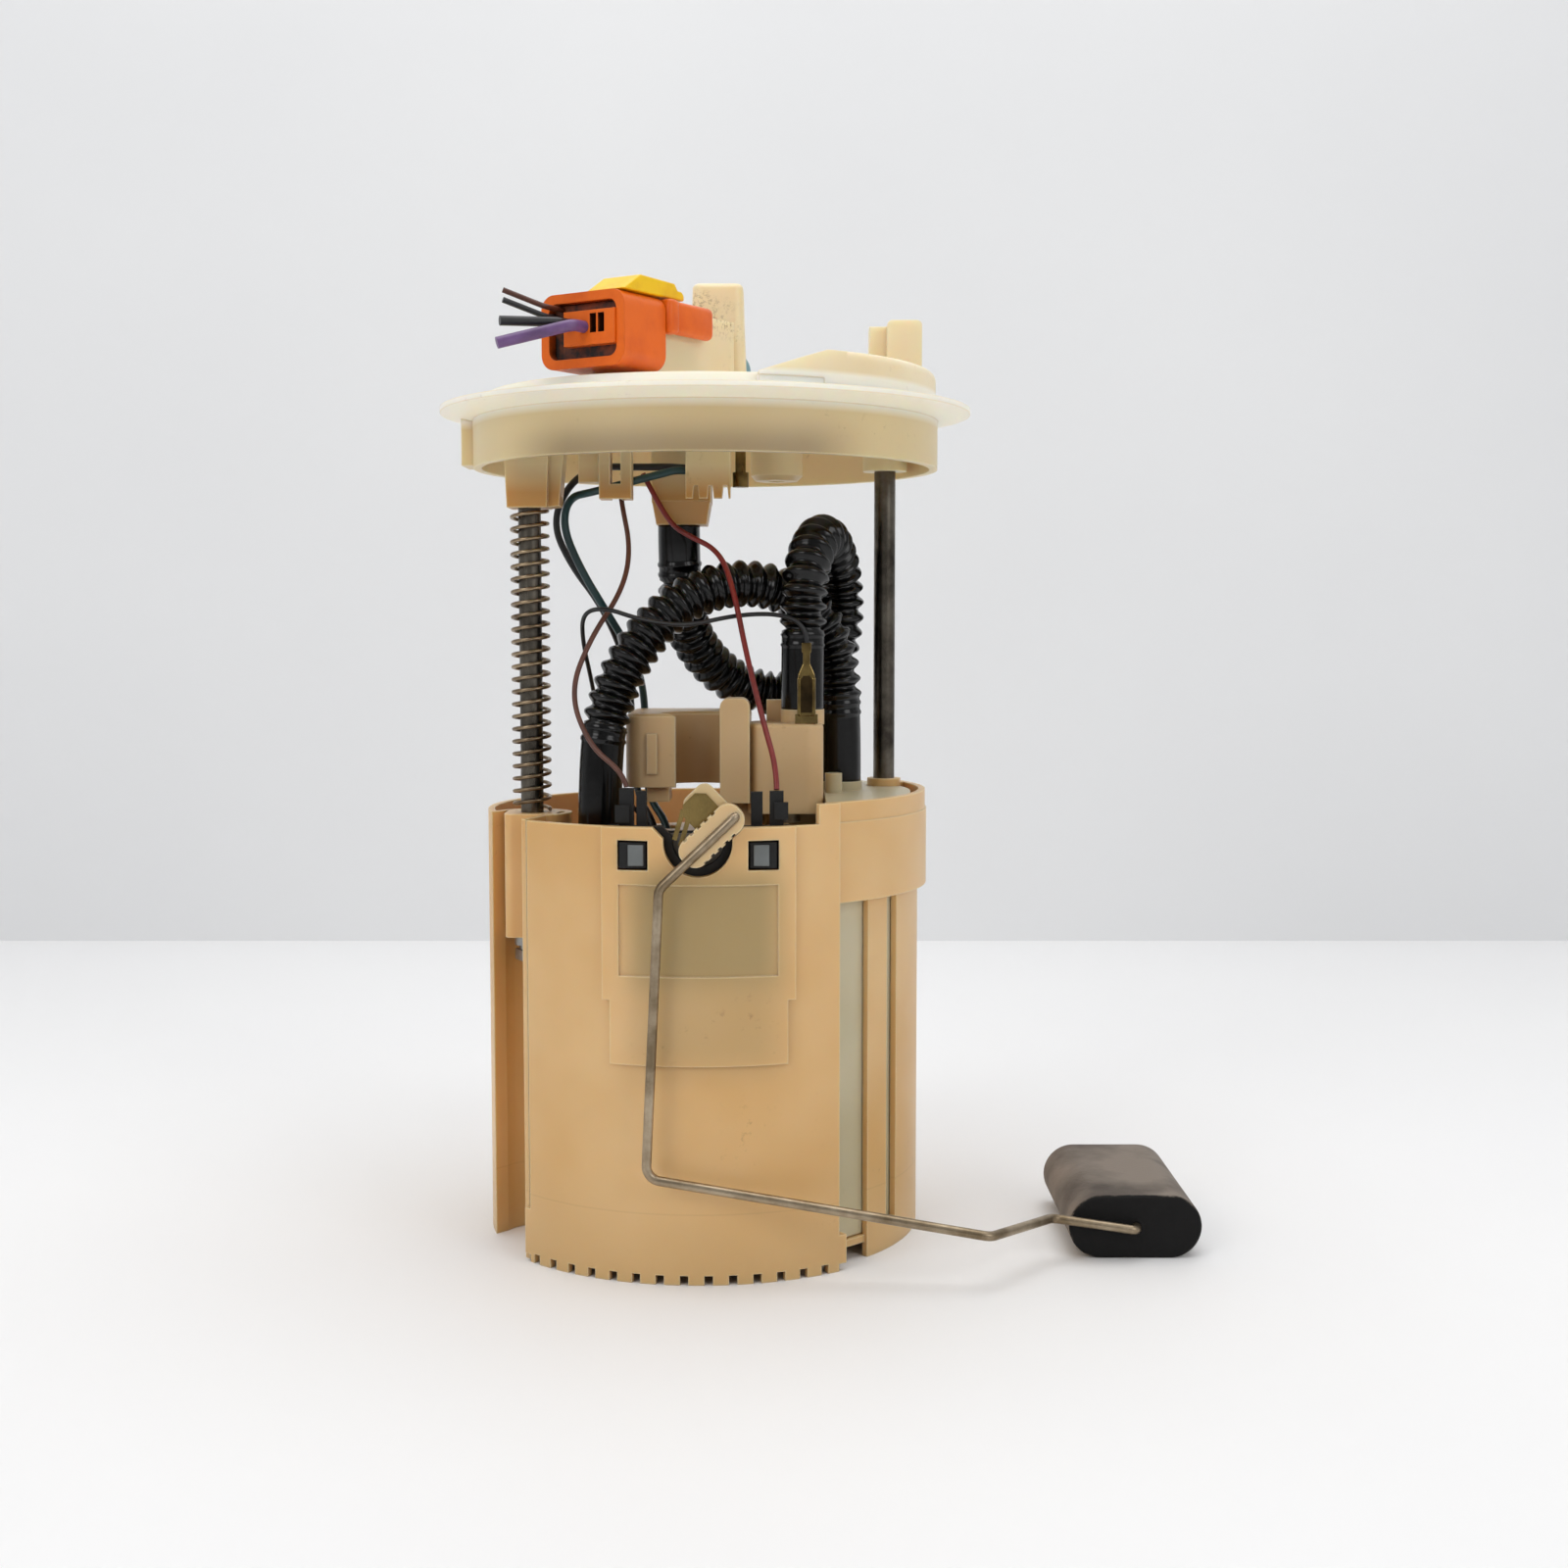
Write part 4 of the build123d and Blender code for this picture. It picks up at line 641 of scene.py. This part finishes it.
# Receptacle on the regulator housing's tab: shouldered body with rolled sides, neck and crimp.
# Its parts share one X and Z and lie at different depths
terminal_x, terminal_z = 28.0, 143.6
body = [(-2.3, 2.0), (2.3, 2.0), (2.3, 13.2), (1.3, 15.6), (1.0, 16.2), (1.0, 19.2),
        (1.35, 19.4), (1.35, 22.0), (-1.35, 22.0), (-1.35, 19.4), (-1.0, 19.2), (-1.0, 16.2),
        (-1.3, 15.6), (-2.3, 13.2)]
left_roll = [(-2.5, 2.2), (-1.5, 2.2), (-1.5, 12.6), (-2.5, 12.6)]
right_roll = [(1.5, 2.2), (2.5, 2.2), (2.5, 12.6), (1.5, 12.6)]
tab = [(-3.1, 0.0), (3.1, 0.0), (3.1, 2.6), (-3.1, 2.6)]
terminal = join("brass_terminal_receptacle",
                [(plate_from(body, 0.9, 0.25), (terminal_x, -26.3, terminal_z)),
                 (plate_from(left_roll, 0.9, 0.35), (terminal_x, -27.0, terminal_z)),
                 (plate_from(right_roll, 0.9, 0.35), (terminal_x, -27.0, terminal_z)),
                 (plate_from(tab, 0.8, 0.15), (terminal_x, -26.2, terminal_z))],
                brass)
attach(terminal, "reservoir")
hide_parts("brass_terminal")

# A thin dark sheet between the receptacle's rolls, which paints the shade of its inside
window = [(-1.45, 3.0), (1.45, 3.0), (1.45, 12.0), (0.9, 13.0), (-0.9, 13.0), (-1.45, 12.0)]
painted_shade_sheet = join("brass_terminal_painted_shade",
              [(plate_from(window, 0.3, 0.05), (terminal_x, -26.5, terminal_z))],
              brass_shaded_copy)
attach(painted_shade_sheet, "reservoir")


# The middle of the plug's wire face in millimetres, and the plug's turn about Z. In its own axes
# it is pushed home along +Y
plug_face = Vector((-29.5, -52.0, 245.3))
plug_turn = Matrix.Rotation(math.radians(57 - 90), 3, "Z")


def plug_block(across, along, high, rounding):
    """A rounded block in the plug's own axes, given by its ranges in millimetres across the
    plug, along it from its wire face and above the middle of that face."""
    shape = bmesh.new()
    bmesh.ops.create_cube(shape, size=1.0)
    size = [(b - a) * mm for a, b in (across, along, high)]
    middle = [(a + b) / 2 * mm for a, b in (across, along, high)]
    bmesh.ops.scale(shape, verts=shape.verts, vec=size)
    bmesh.ops.bevel(shape, geom=shape.edges[:], offset=rounding * mm, segments=4, profile=0.5,
                    affect="EDGES", material=-1)
    bmesh.ops.translate(shape, verts=shape.verts, vec=middle)
    bmesh.ops.rotate(shape, verts=shape.verts, matrix=plug_turn)
    bmesh.ops.translate(shape, verts=shape.verts, vec=plug_face * mm)
    return shape


# The plug's assist lever: two round backed arms with a bridge over the socket
here = (0, 0, 0)  # for shapes that are in their place already
lever = join("plug_lever_moulded",
             [(plug_block((11.1, 14.7), (17.8, 38.0), (0.5, 9.0), 1.7), here),
              (plug_block((-14.7, -11.1), (17.8, 38.0), (0.5, 9.0), 1.7), here),
              (plug_block((10.9, 14.9), (17.8, 22.0), (0.3, 9.2), 1.2), here),
              (plug_block((-14.9, -10.9), (17.8, 22.0), (0.3, 9.2), 1.2), here),
              (plug_block((-12.5, 12.5), (17.8, 24.0), (7.8, 9.0), 0.4), here)],
             plug_orange, True)
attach(lever, "flange")
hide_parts("plug_lever")

# Dirty grease in the plug's recess, round the terminal carrier
smear = join("plug_recess_grease",
             [(plug_block((-10.8, 10.8), (2.4, 3.12), (-7.0, 7.0), 0.2), here)],
             grease)
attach(smear, "flange")

# The sliding lock, right of the plug's middle: a long slope towards the leads and a stepped end
slide_outline = [(1.0, 9.6), (8.2, 14.0), (23.0, 13.7), (24.2, 12.0), (26.0, 12.0), (27.0, 11.0),
                 (27.0, 9.6)]
slider_width = 12.2
slider_to_x = 12.6
slider = plate_from(slide_outline, slider_width, 0.45)
bmesh.ops.rotate(slider, verts=slider.verts, matrix=Matrix.Rotation(math.radians(90), 3, "Z"))
bmesh.ops.translate(slider, verts=slider.verts, vec=(slider_to_x * mm, 0, 0))
bmesh.ops.rotate(slider, verts=slider.verts, matrix=plug_turn)
lock = join("cpa_lock_moulded", [(slider, plug_face)], lock_yellow)
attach(lock, "cpa_lock")
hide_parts("cpa_lock")

# The raised half of the flange reaches down to the brim all round its edge
skirt_inner, skirt_outer = 60.6, 64.2
skirt_low, skirt_high = 229.9, 232.95
half_angle = math.radians(75.9)
section = ((skirt_inner, skirt_low), (skirt_outer, skirt_low), (skirt_outer, skirt_high),
           (skirt_inner, skirt_high))
skirt = bmesh.new()
ring = [skirt.verts.new((r * math.cos(-half_angle) * mm, r * math.sin(-half_angle) * mm, z * mm))
        for r, z in section]
start = skirt.faces.new(ring)
bmesh.ops.spin(skirt, geom=[start] + start.edges[:] + start.verts[:], cent=(0, 0, 0),
               axis=(0, 0, 1), dvec=(0, 0, 0), angle=2 * half_angle, steps=96,
               use_duplicate=False)
bmesh.ops.recalc_face_normals(skirt, faces=skirt.faces)
skirt_piece = join("flange_raised_edge", [(skirt, here)], flange_acetal)
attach(skirt_piece, "flange")

# Ends of the sender's hooks, seen in the two windows of the shell
hook_end = [(-2.0, -2.7), (2.0, -2.7), (2.0, 2.7), (-2.0, 2.7)]
hook_places = ((-15.9, -63.3, 111.8), (16.2, -63.3, 111.8))
hook_ends = join("sender_hook_ends",
                 [(plate_from(hook_end, 0.6, 0.2), place) for place in hook_places],
                 hook_nylon)
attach(hook_ends, "reservoir")

# ---------------------------------------------------------------- return spring

# Round the left guide rod, in millimetres
turns = 24
steps_per_turn = 24
steps = turns * steps_per_turn
coil_low = 119.7
coil_high = 201.3
coil_radius = 4.9
coil_x, coil_y = -47.5, -20.0
coil_wire_radius = 0.52
wire = bmesh.new()
first_section = (Matrix.Translation((coil_radius * mm, 0, coil_low * mm))
                 @ Matrix.Rotation(math.radians(90), 4, "X"))
bmesh.ops.create_circle(wire, cap_ends=False, segments=8, radius=coil_wire_radius * mm,
                        matrix=first_section)
bmesh.ops.spin(wire, geom=wire.verts[:] + wire.edges[:], cent=(0, 0, 0), axis=(0, 0, 1),
               dvec=(0, 0, (coil_high - coil_low) * mm / steps), angle=2 * math.pi * turns,
               steps=steps, use_merge=False)
bmesh.ops.holes_fill(wire, edges=[e for e in wire.edges if e.is_boundary])
bmesh.ops.translate(wire, verts=wire.verts, vec=(coil_x * mm, coil_y * mm, 0))
bmesh.ops.recalc_face_normals(wire, faces=wire.faces)
mesh = bpy.data.meshes.new("spring")
wire.to_mesh(mesh)
wire.free()
spring = put("return_spring_coil", mesh, spring_steel)
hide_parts("return_spring")
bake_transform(spring)


# ---------------------------------------------------------------- table, backdrop and light

def plain_sheet(name, corners, first, second):
    """A painted sheet of the surroundings, in soft clouds of two tones."""
    sheet = bmesh.new()
    sheet.faces.new([sheet.verts.new(c) for c in corners])
    mesh = bpy.data.meshes.new(name)
    sheet.to_mesh(mesh)
    sheet.free()
    piece = bpy.data.objects.new(name, mesh)
    bpy.context.scene.collection.objects.link(piece)
    material, tree = fresh(name + "_paint")
    place = add(tree, "ShaderNodeTexCoord", out="Object")
    cloud = add(tree, "ShaderNodeTexNoise", {"Scale": 3.0, "Detail": 2.0}, {"Vector": place})
    tone = add(tree, "ShaderNodeMix",
               {"data_type": "RGBA", colour_a: linear(first), colour_b: linear(second)},
               {0: cloud}, out=colour_out)
    shader = add(tree, "ShaderNodeBsdfPrincipled", {"Roughness": 0.6}, {"Base Color": tone})
    # only its front shows, so that it hides nothing from behind
    behind = add(tree, "ShaderNodeNewGeometry", out="Backfacing")
    clear = add(tree, "ShaderNodeBsdfTransparent")
    shader = add(tree, "ShaderNodeMixShader", {}, {0: behind, 1: shader, 2: clear})
    add(tree, "ShaderNodeOutputMaterial", {}, {"Surface": shader})
    mesh.materials.append(material)


# A white table that ends at a pale grey wall
wall_y, table_from_y, side_x = 0.503, -2.5, 3
wall_low, wall_high = -0.3, 2.2
plain_sheet("table_top",
            [(-side_x, table_from_y, 0), (side_x, table_from_y, 0), (side_x, wall_y, 0),
             (-side_x, wall_y, 0)], "#E9E9EA", "#F0F0F0")
plain_sheet("back_wall",
            [(-side_x, wall_y, wall_low), (side_x, wall_y, wall_low), (side_x, wall_y, wall_high),
             (-side_x, wall_y, wall_high)], "#E0E1E3", "#EBECED")


def soft_lamp(name, place, aim, size, power):
    """A rectangular lamp in metres and watts."""
    lamp = bpy.data.lights.new(name, "AREA")
    lamp.shape = "RECTANGLE"
    lamp.size, lamp.size_y = size
    lamp.energy = power
    holder = bpy.data.objects.new(name, lamp)
    bpy.context.scene.collection.objects.link(holder)
    holder.location = place
    holder.rotation_euler = (Vector(aim) - Vector(place)).to_track_quat("-Z", "Y").to_euler()


# A wide lamp above, and two weaker ones in front, the left one the brighter
lamp_aim = (0, 0, 0.1)
soft_lamp("overhead", (0.0, -0.05, 1.3), lamp_aim, (1.3, 1.0), 9.8)
soft_lamp("front_left", (-1.0, -1.2, 0.9), lamp_aim, (0.8, 0.8), 6.6)
soft_lamp("front_right", (1.1, -1.1, 0.8), lamp_aim, (0.8, 0.8), 5.2)

# A pale room behind and above, and a dim one in front, which dark glossy pieces mirror
world = bpy.data.worlds.new("room")
world.use_nodes = True
world.node_tree.nodes.clear()
toward = add(world.node_tree, "ShaderNodeTexCoord", out="Generated")
depth = add(world.node_tree, "ShaderNodeSeparateXYZ", {}, {0: toward}, out="Y")
level = add(world.node_tree, "ShaderNodeMapRange",
            {"From Min": -0.55, "From Max": 0.25, "To Min": 0.28, "To Max": 0.62},
            {"Value": depth})
glow = add(world.node_tree, "ShaderNodeBackground", {"Color": (1.0, 1.0, 1.0, 1.0)},
           {"Strength": level})
add(world.node_tree, "ShaderNodeOutputWorld", {}, {"Surface": glow})
bpy.context.scene.world = world
bpy.context.scene.view_settings.view_transform = "Standard"
